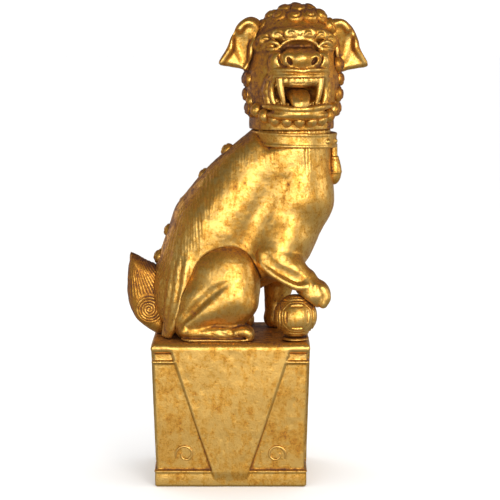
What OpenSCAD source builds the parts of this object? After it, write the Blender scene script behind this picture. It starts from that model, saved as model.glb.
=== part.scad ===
// Foo dog statue: a hollow cast and gilded guardian lion on a draped plinth.
// The lion faces +X and turns its head to look along -Y. +Z is up.
// The origin is the centre of the plinth's underside.

/* [Plinth] */
// Length of the plinth's top along X
plinth_length = 196; // [190:1:206]
// Depth of the plinth's top along Y
plinth_depth = 150; // [146:1:160]
// Height of the plinth
plinth_height = 182; // [150:1:220]
// How much narrower each side of the plinth gets from its top to its foot
plinth_taper = 4; // [2:0.5:6]
// Thickness of the plinth's walls
plinth_wall = 8; // [6:0.5:10]
// Height of the moulding round the foot
foot_moulding_height = 21; // [16:1:26]
// Radius of the rounded moulding round the top
top_moulding_radius = 7; // [6:0.5:8]
// Half width of the draped cloth at the plinth's top
drape_half_width = 77; // [70:1:82]
// Half width of the draped cloth at the plinth's foot
drape_tip_half_width = 16; // [12:1:20]

/* [Underside] */
// Thickness of the felt sheet
felt_thickness = 2; // [1:0.5:3]
// Thickness of the board that closes the plinth
board_thickness = 10; // [8:1:12]
// Side of each square glue block
block_side = 20; // [18:1:24]
// Height of each glue block
block_height = 50; // [40:1:60]
// Radius of a board screw's shank
screw_radius = 1.75; // [1.5:0.25:2]
// Length of a board screw
screw_length = 35; // [25:1:40]

/* [Figure] */
// Thickness of the cast walls
cast_wall = 8; // [6:0.5:9]
// Height of the flat joint between neck and head, above the plinth
neck_joint = 258; // [254:1:262]
// Height of the collar band
collar_height = 17; // [14:1:20]
// Thickness of the collar band
collar_thickness = 4; // [3:0.5:5]
// Radius of the ball
ball_radius = 27; // [25:0.5:28]
// Height of the ball's round foot
ball_foot_height = 4; // [3:0.5:5]

/* [Fixings] */
// Radius of the bolts that hold the figure down
bolt_radius = 3; // [2.5:0.5:3.5]
// Radius of the steel dowels between castings
dowel_radius = 4; // [3:0.5:5]
// Radial clearance round bolts, screws and dowels
clearance = 0.05; // [0.02:0.01:0.1]

/* [Hidden] */

gold = "goldenrod";
dark_gold = "darkgoldenrod";
steel = "silver";
timber = "burlywood";
ball_fn = 22;       // facets of the spheres that the castings are hulled from
round_fn = 48;      // facets of true cylinders
far = 400;          // larger than the object
nudge = 0.5;        // how far a cutting solid runs past a face

deck = plinth_height;
half_length = plinth_length / 2;
half_depth = plinth_depth / 2;
cavity_half_length = half_length - plinth_taper - plinth_wall - 3;
cavity_half_depth = half_depth - plinth_taper - plinth_wall - 3;
block_x = cavity_half_length - block_side / 2 - clearance;
block_y = cavity_half_depth - block_side / 2 - clearance;
screw_spots = [for (sx = [-1, 1], sy = [-1, 1]) [sx * block_x, sy * block_y]];

// Castings are hulls of spheres, each [x, y, height above the plinth, radius].
body_balls = [[-42, 0, 56, 56], [-14, 0, 134, 57], [54, 0, 118, 46], [76, 0, 176, 53], [36, 0, 210, 47]];
nape_balls = [[76, 0, 176, 50], [36, 0, 212, 42], [76, 0, 262, 48]];
thigh_balls = [[12, 42, 84, 23], [-34, 35, 50, 37], [10, 42, 42, 22]];
hind_paw_balls = [[-52, 50, 10, 10], [-6, 49, 12, 12], [14, 48, 13, 13]];
raised_arm_balls = [[74, 32, 116, 24], [48, 40, 92, 18]];
raised_forearm_balls = [[48, 40, 92, 18], [84, 44, 77, 14], [105, 46, 58, 17]];
standing_leg_balls = [[68, 28, 112, 27], [60, 36, 30, 15], [56, 37, 12, 13]];
standing_paw_balls = [[56, 37, 13, 13], [72, 38, 12, 12]];
head_x = 76;                // the head's own measures start from this upright axis
head_yaw = 8;               // the face turns a little towards +X
head_balls = [[0, -2, 360, 52], [-20, -6, 306, 42], [20, -6, 306, 42], [-4, 4, 268, 46]];
muzzle_balls = [[-19, -62, 336, 18], [19, -62, 336, 18], [0, -30, 340, 30]];
jaw_balls = [[-34, -40, 282, 10], [34, -40, 282, 10], [20, -62, 284, 11], [-20, -62, 284, 11]];
ear_root_balls = [[46, 2, 386, 12], [52, 0, 350, 9]];
ear_flap_balls = [[70, -6, 376, 9], [90, -12, 341, 4], [60, -8, 326, 5]];
curl_radius = 8.5;
curl_sink = 2;              // how far a curl's middle lies under the surface that carries it

figure_bolt_spots = [[-10, -49], [-10, 49], [58, 37]];
ball_spot = [80, -50];
ball_foot_radius = 17;
ball_middle = deck + ball_foot_height + ball_radius - 1;
insert_radius = bolt_radius + 2.5;
insert_height = 14;
bolt_head_height = 4;
washer_thickness = 1.6;

tail_thickness = 34;
tail_outline = [
    [-84, 0], [-100, 4], [-119, 18], [-130, 42], [-131, 66], [-127, 100],
    [-112, 92], [-98, 84], [-88, 60], [-82, 30]
];

collar_half_length = 58;    // outer half size of the collar along X
collar_half_width = 50;     // and along Y
collar_x = 74;

spine_spots = [[-4, 231], [-32, 199], [-60, 163], [-80, 124], [-91, 90]];

// The plinth's outline from foot to top: how far each point lies inside the top's edge, and its height.
panel_top = plinth_height - 2 * top_moulding_radius - 12;
plinth_profile = concat(
    [
        [plinth_taper + 1, 0], [plinth_taper, 1.5],
        [plinth_taper, foot_moulding_height - 3],
        [plinth_taper + 2.5, foot_moulding_height],
        [3, panel_top], [1.2, panel_top + 1.5], [1.2, panel_top + 5],
        [3.5, panel_top + 6.5], [3.5, plinth_height - 2 * top_moulding_radius]
    ],
    [for (a = [-75 : 15 : 75])
        [top_moulding_radius * (1 - cos(a)), plinth_height - top_moulding_radius * (1 - sin(a))]],
    [[top_moulding_radius, plinth_height]]
);

function mirrored_outline(half, profile) = concat(
    [for (p = profile) [half - p[0], p[1]]],
    [for (i = [len(profile) - 1 : -1 : 0]) [profile[i][0] - half, profile[i][1]]]
);

function ellipse_points(rx, ry, n = 64) = [for (i = [0 : n - 1]) [rx * cos(360 * i / n), ry * sin(360 * i / n)]];

module ball_hull(balls, side = 1, shrink = 0) {
    hull()
        for (b = balls)
            translate([b[0], side * b[1], deck + b[2]])
                sphere(r = b[3] - shrink, $fn = ball_fn);
}

module below_deck() {
    translate([-far / 2, -far / 2, deck - far])
        cube(far);
}

module above_neck_joint() {
    translate([-far / 2, -far / 2, deck + neck_joint])
        cube(far);
}

module below_neck_joint() {
    translate([-far / 2, -far / 2, deck + neck_joint - far])
        cube(far);
}

module upright_rod(spot, radius, from, to) {
    translate([spot[0], spot[1], from])
        cylinder(r = radius, h = to - from, $fn = round_fn);
}

// A rod between two points.
module rod(a, b, radius) {
    d = b - a;
    length = norm(d);
    translate(a)
        rotate([0, acos(d[2] / length), atan2(d[1], d[0])])
            cylinder(r = radius, h = length, $fn = round_fn);
}

module felt_sheet() {
    color("dimgray")
        translate([-cavity_half_length + clearance, -cavity_half_depth + clearance, 0])
            cube([2 * (cavity_half_length - clearance), 2 * (cavity_half_depth - clearance), felt_thickness]);
}

module base_board() {
    color(timber)
        difference() {
            translate([-cavity_half_length + clearance, -cavity_half_depth + clearance, felt_thickness])
                cube([2 * (cavity_half_length - clearance), 2 * (cavity_half_depth - clearance), board_thickness]);
            for (s = screw_spots) {
                upright_rod(s, screw_radius + clearance, felt_thickness - nudge, felt_thickness + board_thickness + nudge);
                translate([s[0], s[1], felt_thickness - 0.01])
                    cylinder(r1 = 2 * screw_radius + clearance, r2 = screw_radius + clearance, h = screw_radius, $fn = round_fn);
            }
        }
}

module glue_blocks() {
    bottom = felt_thickness + board_thickness;
    color(timber)
        for (s = screw_spots)
            difference() {
                translate([s[0] - block_side / 2, s[1] - block_side / 2, bottom])
                    cube([block_side, block_side, block_height]);
                upright_rod(s, screw_radius + clearance, bottom - nudge, felt_thickness + screw_length + 1);
            }
}

module board_screws() {
    color(steel)
        for (s = screw_spots) {
            upright_rod(s, screw_radius, felt_thickness, felt_thickness + screw_length);
            translate([s[0], s[1], felt_thickness])
                cylinder(r1 = 2 * screw_radius, r2 = screw_radius, h = screw_radius, $fn = round_fn);
        }
}

module plinth_solid() {
    intersection() {
        rotate([90, 0, 0])
            linear_extrude(plinth_depth + 2, center = true)
                polygon(mirrored_outline(half_length, plinth_profile));
        rotate([90, 0, 90])
            linear_extrude(plinth_length + 2, center = true)
                polygon(mirrored_outline(half_depth, plinth_profile));
    }
}

// A tapered cloth that hangs down one face of the plinth, over both mouldings.
module drape(half, half_width, tip_half_width) {
    thickness = 9;
    lean = atan(plinth_taper / plinth_height);
    translate([0, -half + 0.2, plinth_height])
        rotate([90 + lean, 0, 0])
            translate([0, 0, -thickness])
                linear_extrude(thickness)
                    polygon([
                        [-half_width, -0.3], [half_width, -0.3],
                        [tip_half_width, 3 - plinth_height], [-tip_half_width, 3 - plinth_height]
                    ]);
}

module plinth_shell() {
    side_scale = plinth_depth / plinth_length;
    color(gold)
        difference() {
            union() {
                plinth_solid();
                for (turn = [0, 180]) {
                    rotate([0, 0, turn])
                        drape(half_depth, drape_half_width, drape_tip_half_width);
                    rotate([0, 0, turn + 90])
                        drape(half_length, drape_half_width * side_scale, drape_tip_half_width * side_scale);
                }
            }
            translate([-cavity_half_length, -cavity_half_depth, -nudge])
                cube([2 * cavity_half_length, 2 * cavity_half_depth, plinth_height - plinth_wall + nudge]);
            for (s = concat(figure_bolt_spots, [ball_spot]))
                upright_rod(s, bolt_radius + clearance, plinth_height - plinth_wall - nudge, plinth_height + nudge);
        }
}

module bolt_washers() {
    bottom = plinth_height - plinth_wall - washer_thickness;
    color(steel)
        for (s = figure_bolt_spots)
            difference() {
                upright_rod(s, 2.2 * bolt_radius, bottom, bottom + washer_thickness);
                upright_rod(s, bolt_radius + clearance, bottom - nudge, bottom + washer_thickness + nudge);
            }
}

module figure_bolts() {
    head_top = plinth_height - plinth_wall - washer_thickness;
    color(steel)
        for (s = figure_bolt_spots) {
            upright_rod(s, bolt_radius, head_top - 1, deck + insert_height - 1);
            translate([s[0], s[1], head_top - bolt_head_height])
                cylinder(r = 1.9 * bolt_radius, h = bolt_head_height, $fn = 6);
        }
}

module threaded_inserts() {
    color("peru")
        for (s = figure_bolt_spots)
            difference() {
                upright_rod(s, insert_radius, deck, deck + insert_height);
                upright_rod(s, bolt_radius + clearance, deck - nudge, deck + insert_height - 0.5);
            }
}

module torso_form(shrink = 0) {
    ball_hull(body_balls, 1, shrink);
    ball_hull(nape_balls, 1, shrink);
}

// Every dowel, as [start, end, radius].
neck_dowel_ends = [[76, 0, deck + neck_joint - 30], [76, 0, deck + neck_joint + 34]];
tail_dowel_ends = [[-104, 0, deck + 46], [-78, 0, deck + 60]];
raised_leg_dowel_ends = [[66, -18, deck + 114], [74, -44, deck + 112]];
standing_leg_dowel_ends = [[66, 14, deck + 114], [66, 40, deck + 108]];
function hind_leg_dowel_ends(side) = [[-30, side * 20, deck + 70], [-28, side * 54, deck + 66]];
function ear_dowel_ends(side) = [[side * 38, 0, deck + 374], [side * 60, 0, deck + 378]];

module dowel(ends, grow = 0) {
    rod(ends[0], ends[1], dowel_radius + grow);
}

module torso_shell() {
    color(gold)
        difference() {
            torso_form();
            difference() {
                torso_form(cast_wall);
                translate([-far / 2, -far / 2, deck + neck_joint - cast_wall])
                    cube(far);
                translate([-far / 2, -far / 2, deck - far + cast_wall])
                    cube(far);
            }
            below_deck();
            above_neck_joint();
            for (ends = [neck_dowel_ends, tail_dowel_ends, raised_leg_dowel_ends, standing_leg_dowel_ends,
                         hind_leg_dowel_ends(1), hind_leg_dowel_ends(-1)])
                dowel(ends, clearance);
        }
}

module insert_pocket(spot) {
    upright_rod(spot, insert_radius + clearance, deck - nudge, deck + insert_height + clearance);
}

module hind_leg(side, spot) {
    color(gold)
        difference() {
            union() {
                ball_hull(thigh_balls, side);
                ball_hull(hind_paw_balls, side);
            }
            torso_form();
            below_deck();
            insert_pocket(spot);
            dowel(hind_leg_dowel_ends(side), clearance);
        }
}

module right_hind_leg() {
    hind_leg(-1, figure_bolt_spots[0]);
}

module left_hind_leg() {
    hind_leg(1, figure_bolt_spots[1]);
}

module ball_solid(grow = 0) {
    translate([ball_spot[0], ball_spot[1], ball_middle])
        sphere(r = ball_radius + grow, $fn = round_fn);
}

module right_foreleg() {
    color(gold)
        difference() {
            union() {
                ball_hull(raised_arm_balls, -1);
                ball_hull(raised_forearm_balls, -1);
            }
            torso_form();
            ball_solid(0.2);
            dowel(raised_leg_dowel_ends, clearance);
        }
}

module left_foreleg() {
    color(gold)
        difference() {
            union() {
                ball_hull(standing_leg_balls);
                ball_hull(standing_paw_balls);
            }
            torso_form();
            below_deck();
            insert_pocket(figure_bolt_spots[2]);
            dowel(standing_leg_dowel_ends, clearance);
        }
}

module tail() {
    color(dark_gold)
        difference() {
            translate([0, 0, deck])
                rotate([90, 0, 0])
                    linear_extrude(tail_thickness, center = true)
                        offset(r = 3, $fn = ball_fn)
                            offset(delta = -3)
                                polygon(tail_outline);
            torso_form();
            hind_leg_space();
            below_deck();
            dowel(tail_dowel_ends, clearance);
        }
}

// The room that both thighs take.
module hind_leg_space() {
    for (side = [-1, 1])
        ball_hull(thigh_balls, side);
}

module face_frame() {
    translate([head_x, 0, 0])
        rotate([0, 0, head_yaw])
            children();
}

module mouth_space() {
    face_frame()
        translate([-27, -90, deck + 272])
            cube([54, 62, 43]);
}

// The head's outer form, in its own measures.
module head_form(shrink = 0) {
    ball_hull(head_balls, 1, shrink);
}

module head_shell() {
    color(gold)
        difference() {
            face_frame()
                difference() {
                    union() {
                        head_form();
                        ball_hull(muzzle_balls);
                    }
                    head_form(2 * cast_wall);
                    ball_hull(jaw_balls, 1, -0.1);
                    for (side = [-1, 1])
                        dowel(ear_dowel_ends(side), clearance);
                }
            mouth_space();
            below_neck_joint();
            dowel(neck_dowel_ends, clearance);
        }
}

// The two long upper fangs, in the head's own measures.
module fangs(grow = 0) {
    for (side = [-1, 1])
        translate([side * 22.5, -57.8, deck + 289 - grow])
            cylinder(r1 = 2.2 + grow, r2 = 4 + grow, h = 25.9 + grow, $fn = round_fn);
}

module lower_jaw() {
    color(gold)
        face_frame()
            difference() {
                ball_hull(jaw_balls);
                translate([-13, -64, deck + 286])
                    cube([26, 50, 20]);
                fangs(0.2);
            }
}

module tongue() {
    color(dark_gold)
        face_frame()
            translate([0, -44, deck + 286.1])
                linear_extrude(6)
                        polygon([[-12, -19], [12, -19], [12.5, 8], [-12.5, 8]]);
}

module teeth() {
    tooth_count = 6;
    tooth_row = 46;
    tooth_pitch = tooth_row / tooth_count;
    color("palegoldenrod")
        face_frame() {
            for (i = [0 : tooth_count - 1])
                translate([-tooth_row / 2 + (i + 0.08) * tooth_pitch, -70, deck + 308])
                    cube([0.84 * tooth_pitch, 8, 6.9]);
            fangs();
        }
}

// One ear as a hull of spheres from its root to its hanging tip.
module ear(side) {
    color(gold)
        face_frame()
            difference() {
                mirror([side < 0 ? 1 : 0, 0, 0])
                    ball_hull(concat(ear_root_balls, ear_flap_balls));
                head_form();
                dowel(ear_dowel_ends(side), clearance);
            }
}

module right_ear() {
    ear(-1);
}

module left_ear() {
    ear(1);
}

// Curls in rings round the skull, each [angle down from the top, first and last bearing, step].
// Bearing 0 is the back of the head.
crown_rings = [[12, -150, 150, 100], [36, -150, 150, 50]];
mane_rings = [[60, -100, 100, 33.3], [84, -84, 84, 24]];
// Curls down the back of the neck, each ring a height above the plinth.
nape_rings = [334, 312, 290];

module skull_curls(rings) {
    skull = head_balls[0];
    for (ring = rings, bearing = [ring[1] : ring[3] : ring[2]])
        translate([skull[0], skull[1], deck + skull[2]])
            rotate([0, 0, bearing])
                rotate([-ring[0], 0, 0])
                    translate([0, 0, skull[3] - curl_sink])
                        sphere(r = curl_radius, $fn = ball_fn);
}

module crown_curls() {
    color(dark_gold)
        face_frame()
            difference() {
                skull_curls(crown_rings);
                head_form();
            }
}

module mane_curls() {
    color(dark_gold)
        face_frame()
            difference() {
                union() {
                    skull_curls(mane_rings);
                    for (height = nape_rings, bearing = [-75 : 25 : 75])
                        rotate([0, 0, bearing])
                            translate([0, 48, deck + height])
                                sphere(r = curl_radius, $fn = ball_fn);
                }
                head_form();
            }
}

module beard_curls() {
    reach = 46;             // how far the beard stands from the head's axis
    color(dark_gold)
        face_frame()
            difference() {
                for (bearing = [-78 : 19.5 : 78])
                    rotate([0, 0, bearing])
                        translate([0, -reach, deck + 267 + 10 * pow(abs(bearing) / 78, 3)])
                            sphere(r = 7.6, $fn = ball_fn);
                head_form();
                below_neck_joint();
                ball_hull(jaw_balls);
            }
}

module spine_curls() {
    color(dark_gold)
        difference() {
            for (s = spine_spots)
                translate([s[0], 0, deck + s[1]])
                    sphere(r = 10, $fn = ball_fn);
            torso_form();
            translate([-far / 2 - 90, -far / 2, deck - far + 86])
                cube(far);
        }
}

module collar() {
    bottom = deck + neck_joint - collar_height - 4;
    color(gold)
        translate([collar_x, 0, bottom])
            difference() {
                linear_extrude(collar_height)
                    polygon(ellipse_points(collar_half_length, collar_half_width));
                translate([0, 0, -nudge])
                    linear_extrude(collar_height + 2 * nudge)
                        polygon(ellipse_points(collar_half_length - collar_thickness, collar_half_width - collar_thickness));
                translate([-collar_x, 0, -bottom])
                    torso_form();
            }
}

module bell() {
    bell_x = 131;
    color(gold)
        difference() {
            translate([bell_x, 0, deck + 194])
                rotate_extrude($fn = round_fn)
                    polygon([[0, 0], [6, 0], [7.5, 4], [7, 14], [4.5, 24], [2.5, 30], [2.5, 42], [0, 42]]);
            torso_form();
            translate([-far / 2, -far / 2, deck + neck_joint - collar_height - 4])
                cube(far);
        }
}

module ball() {
    color(gold)
        difference() {
            ball_solid();
            ball_foot_cup();
            upright_rod(ball_spot, bolt_radius + clearance, deck - nudge, ball_middle);
        }
}

module ball_foot_cup() {
    upright_rod(ball_spot, ball_foot_radius, deck - nudge, deck + ball_foot_height);
}

module ball_foot() {
    color(dark_gold)
        difference() {
            ball_foot_cup();
            below_deck();
            upright_rod(ball_spot, bolt_radius + clearance, deck - nudge, deck + ball_foot_height + nudge);
        }
}

module ball_pin() {
    color(steel)
        upright_rod(ball_spot, bolt_radius, plinth_height - plinth_wall, ball_middle - 0.5);
}

module neck_dowel() {
    color(steel)
        dowel(neck_dowel_ends);
}

module tail_dowel() {
    color(steel)
        dowel(tail_dowel_ends);
}

module foreleg_dowels() {
    color(steel) {
        dowel(raised_leg_dowel_ends);
        dowel(standing_leg_dowel_ends);
    }
}

module hind_leg_dowels() {
    color(steel)
        for (side = [-1, 1])
            dowel(hind_leg_dowel_ends(side));
}

module ear_dowels() {
    color(steel)
        face_frame()
            for (side = [-1, 1])
                dowel(ear_dowel_ends(side));
}

felt_sheet();
base_board();
glue_blocks();
board_screws();
plinth_shell();
figure_bolts();
bolt_washers();
threaded_inserts();
torso_shell();
right_hind_leg();
left_hind_leg();
right_foreleg();
left_foreleg();
tail();
head_shell();
lower_jaw();
tongue();
teeth();
right_ear();
left_ear();
crown_curls();
mane_curls();
beard_curls();
spine_curls();
collar();
bell();
ball();
ball_foot();
ball_pin();
neck_dowel();
tail_dowel();
foreleg_dowels();
hind_leg_dowels();
ear_dowels();
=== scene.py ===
# Foo dog statue: the carved and gilded look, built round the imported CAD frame.
# Every casting is modelled as clay: a block of signed distances that forms are added to and carved
# out of, skinned into one closed mesh, and then tooled with hair, rings and grain.
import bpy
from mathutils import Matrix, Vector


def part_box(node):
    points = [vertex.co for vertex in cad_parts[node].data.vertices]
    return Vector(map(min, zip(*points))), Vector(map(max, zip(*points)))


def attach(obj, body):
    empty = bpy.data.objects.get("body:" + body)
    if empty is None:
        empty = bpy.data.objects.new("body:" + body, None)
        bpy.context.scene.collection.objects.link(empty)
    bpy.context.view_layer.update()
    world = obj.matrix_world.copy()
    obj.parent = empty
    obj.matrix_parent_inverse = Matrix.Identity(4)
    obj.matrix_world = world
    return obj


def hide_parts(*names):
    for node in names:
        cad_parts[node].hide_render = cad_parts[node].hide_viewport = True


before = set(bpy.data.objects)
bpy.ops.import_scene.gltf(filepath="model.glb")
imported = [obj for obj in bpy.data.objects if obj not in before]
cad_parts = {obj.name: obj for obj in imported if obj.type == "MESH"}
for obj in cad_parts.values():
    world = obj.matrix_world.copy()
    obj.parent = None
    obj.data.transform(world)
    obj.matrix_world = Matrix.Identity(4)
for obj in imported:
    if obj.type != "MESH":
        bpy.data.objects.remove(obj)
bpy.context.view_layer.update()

import copy
import math

import bpy
import numpy as np
from mathutils import Euler, Vector

# ---------------------------------------------------------------- places taken from the frame, in mm

MM = 0.001


def box_mm(node):
    """The lowest and highest corner of a CAD node, in millimetres."""
    low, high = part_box(node)
    return np.array(low) / MM, np.array(high) / MM


DECK = box_mm("torso_shell")[0][2]              # height of the plinth's top
PLINTH_HIGH = box_mm("plinth_shell")[1]
HALF_LENGTH = PLINTH_HIGH[0]
HALF_DEPTH = PLINTH_HIGH[1]
BALL_LOW, BALL_HIGH = box_mm("ball")
BALL_RADIUS = (BALL_HIGH[0] - BALL_LOW[0]) / 2
BALL = (BALL_LOW + BALL_HIGH) / 2
BALL[2] = BALL_HIGH[2] - BALL_RADIUS - DECK
FOOT_LOW, FOOT_HIGH = box_mm("ball_foot")
NECK_LOW, NECK_HIGH = box_mm("neck_dowel")
HEAD_X = (NECK_LOW[0] + NECK_HIGH[0]) / 2       # the head's upright axis
HEAD_YAW = math.radians(8)                      # the face turns a little towards +X
NECK_JOINT = box_mm("head_shell")[0][2] - DECK
COLLAR_LOW, COLLAR_HIGH = box_mm("collar")
COLLAR_X = (COLLAR_LOW[0] + COLLAR_HIGH[0]) / 2
COLLAR_HALF_LENGTH = (COLLAR_HIGH[0] - COLLAR_LOW[0]) / 2
COLLAR_HALF_WIDTH = (COLLAR_HIGH[1] - COLLAR_LOW[1]) / 2
COLLAR_MIDDLE = (COLLAR_LOW[2] + COLLAR_HIGH[2]) / 2 - DECK
BELL_LOW, BELL_HIGH = box_mm("bell")

COARSE = 1.0             # a factor on every lattice step; above 1 makes coarser blocks
FAR = 60.0                                      # the distance that an empty block starts with
GAP = 0.05                                      # clearance between two castings
LAP = 1.6                                       # how far each foreleg and the body run past their joint
SINK = -0.5                                     # the head's curls lie this far under its surface
FLOOR = 0.02                                    # the lowest that the figure's castings reach
PINCH = 0.02                                    # how far inside a filled lattice point is put
CRUMB = 160                                     # faces that a loose part needs in order to stay
REACH = 9.0                                     # how far round a form its distances are worked out
CORNER_PART = 3                                 # a plinth face's parts: panel, cloth, panel, corner

# ---------------------------------------------------------------- clay: signed distances in a block


def sample(values, q):
    """Values of a lattice between its points, at q counted in lattice steps."""
    q = np.clip(q, 0, np.array(values.shape) - 1.001)
    i = q.astype(int)
    f = q - i
    out = np.zeros(len(q))
    for corner in np.ndindex(2, 2, 2):
        weight = np.prod(np.where(np.array(corner), f, 1 - f), axis=1)
        j = i + np.array(corner)
        out += weight * values[j[:, 0], j[:, 1], j[:, 2]]
    return out


def cut_at(parts):
    """An index into a block: all of it, but for the axes that parts names."""
    return tuple(parts.get(axis, slice(None)) for axis in range(3))


def soft_min(a, b, blend):
    """The lesser of two distances, rounded over where they are within blend of each other."""
    if blend <= 0:
        return np.minimum(a, b)
    near = np.maximum(blend - np.abs(a - b), 0)
    return np.minimum(a, b) - near * near / (4 * blend)


class Clay:
    """A block of signed distances in mm, negative inside. Heights are above the plinth's top."""

    def __init__(self, low, high, step, reach=REACH):
        self.reach = reach
        self.step = step * COARSE
        self.low = np.floor(np.array(low, float) / self.step) * self.step
        count = np.ceil((np.array(high, float) - self.low) / self.step).astype(int) + 1
        self.d = np.full(tuple(count), FAR, np.float32)

    def window(self, low, high):
        """The part of the block between two corners: its slices and its x, y and z."""
        first = np.maximum(np.floor((np.asarray(low) - self.low) / self.step).astype(int), 0)
        last = np.minimum(np.ceil((np.asarray(high) - self.low) / self.step).astype(int) + 1, self.d.shape)
        last = np.maximum(last, first)
        cut = tuple(slice(a, b) for a, b in zip(first, last))
        x, y, z = [(self.low[i] + self.step * np.arange(first[i], last[i])).astype(np.float32)
                   for i in range(3)]
        return cut, x[:, None, None], y[None, :, None], z[None, None, :]

    def add(self, form, blend=0.0):
        """Joins a form on."""
        distance, low, high = form
        cut, x, y, z = self.window(low - self.reach - blend, high + self.reach + blend)
        self.d[cut] = soft_min(self.d[cut], distance(x, y, z), blend)

    def carve(self, form, blend=0.0):
        """Takes a form away."""
        distance, low, high = form
        cut, x, y, z = self.window(low - blend - 2, high + blend + 2)
        self.d[cut] = -soft_min(-self.d[cut], distance(x, y, z), blend)

    def keep(self, form, blend=0.0):
        """Keeps only what lies inside form."""
        distance = form[0]
        _, x, y, z = self.window(self.low, self.low + self.step * np.array(self.d.shape))
        self.d = -soft_min(-self.d, -distance(x, y, z), blend)

    def trace(self, points, blend, pieces=5):
        """Adds a round limb along a smooth line."""
        self.add(limb(curve(points, pieces)), blend)

    def groove(self, points, blend, pieces=5):
        """Carves a round groove along a smooth line."""
        self.carve(limb(curve(points, pieces)), blend)

    def soften(self, times):
        """Rounds off creases that are too sharp for the lattice."""
        for _ in range(times):
            for axis in range(3):
                d = np.moveaxis(self.d, axis, 0)
                d[1:-1] = 0.25 * d[:-2] + 0.5 * d[1:-1] + 0.25 * d[2:]

    def on_lattice_of(self, other):
        """This block's distances at the lattice points of another block."""
        out = self.d
        for axis in range(3):
            at = (other.low[axis] + other.step * np.arange(other.d.shape[axis])
                  - self.low[axis]) / self.step
            at = np.clip(at, 0, self.d.shape[axis] - 1.001)
            i = at.astype(int)
            shape = [1, 1, 1]
            shape[axis] = len(at)
            f = (at - i).astype(np.float32).reshape(shape)
            out = np.take(out, i, axis) * (1 - f) + np.take(out, i + 1, axis) * f
        return out

    def cut_by(self, other, gap=GAP):
        """Takes away what another casting holds."""
        self.d = np.maximum(self.d, gap - other.on_lattice_of(self))

    def at(self, points):
        """Distances at any points."""
        q = (points - self.low) / self.step
        inside = ((q >= 0) & (q <= np.array(self.d.shape) - 1.001)).all(1)
        return np.where(inside, sample(self.d, q), FAR)

    def skin(self):
        """The surface as vertices and quads, one vertex in each cell that it passes through."""
        d = self.d.copy()
        for axis in range(3):                   # the block's own faces stay outside
            for end in (0, -1):
                face = cut_at({axis: end})
                d[face] = np.maximum(d[face], 0.5 * self.step)
        fill_pinches(d)
        solid = d < 0
        count = np.zeros(np.array(d.shape) - 1, np.uint8)
        corners = list(np.ndindex(2, 2, 2))
        for c in corners:
            count += solid[tuple(slice(k, d.shape[i] - 1 + k) for i, k in enumerate(c))]
        cells = np.argwhere((count > 0) & (count < 8))
        number = np.full(count.shape, -1, np.int64)
        number[tuple(cells.T)] = np.arange(len(cells))
        value = {c: d[tuple((cells + c).T)].astype(float) for c in corners}
        total = np.zeros((len(cells), 3))
        crossings = np.zeros(len(cells))
        for c in corners:
            for axis in range(3):
                if c[axis]:
                    continue
                e = tuple(1 if i == axis else k for i, k in enumerate(c))
                a, b = value[c], value[e]
                crossed = (a < 0) != (b < 0)
                t = np.where(crossed, a / np.where(crossed, a - b, 1), 0)
                place = np.tile(np.array(c, float), (len(cells), 1))
                place[:, axis] += t
                total += place * crossed[:, None]
                crossings += crossed
        vertices = self.low + self.step * (cells + total / crossings[:, None])
        quads = []
        for axis in range(3):
            u, v = (axis + 1) % 3, (axis + 2) % 3
            start, end = solid[cut_at({axis: slice(0, -1)})], solid[cut_at({axis: slice(1, None)})]
            edges = np.argwhere(start != end)
            inner = (edges[:, u] > 0) & (edges[:, v] > 0)
            inner &= (edges[:, u] < d.shape[u] - 1) & (edges[:, v] < d.shape[v] - 1)
            edges = edges[inner]
            ring = []
            for du, dv in ((-1, -1), (0, -1), (0, 0), (-1, 0)):
                cell = edges.copy()
                cell[:, u] += du
                cell[:, v] += dv
                ring.append(number[tuple(cell.T)])
            ring = np.stack(ring, 1)
            outward = start[tuple(edges.T)]
            quads.append(np.where(outward[:, None], ring, ring[:, ::-1]))
        return without_crumbs(vertices, np.concatenate(quads))


def fill_pinches(d):
    """Fills the lattice points where two parts of a surface would touch along one edge only."""
    for _ in range(8):
        filled = 0
        for u, v in ((0, 1), (0, 2), (1, 2)):
            a, b, c, e = [
                d[cut_at({u: slice(i, d.shape[u] - 1 + i), v: slice(j, d.shape[v] - 1 + j)})]
                for i, j in ((0, 0), (1, 0), (0, 1), (1, 1))]
            rising = (a < 0) & (e < 0) & (b >= 0) & (c >= 0)
            falling = (b < 0) & (c < 0) & (a >= 0) & (e >= 0)
            b[rising] = -PINCH
            a[falling] = -PINCH
            filled += rising.sum() + falling.sum()
        if not filled:
            return


def without_crumbs(vertices, quads):
    """Leaves out loose specks, such as a cut can leave behind."""
    ends = np.sort(np.stack([quads, np.roll(quads, -1, 1)], 2), 2)
    keys = ends[..., 0] * len(vertices) + ends[..., 1]
    edges = np.unique(keys.ravel(), return_inverse=True)[1].reshape(-1, 4)
    label = np.arange(edges.max() + 1)
    while True:
        lowest = label.copy()
        np.minimum.at(lowest, edges.ravel(), np.repeat(label[edges].min(1), 4))
        lowest = lowest[lowest]
        if (lowest == label).all():
            break
        label = lowest
    part = label[edges[:, 0]]
    quads = quads[np.bincount(part)[part] >= CRUMB]
    used = np.unique(quads)
    number = np.zeros(len(vertices), np.int64)
    number[used] = np.arange(len(used))
    return vertices[used], number[quads]


# ---------------------------------------------------------------- forms: (distance, low, high)


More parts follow.
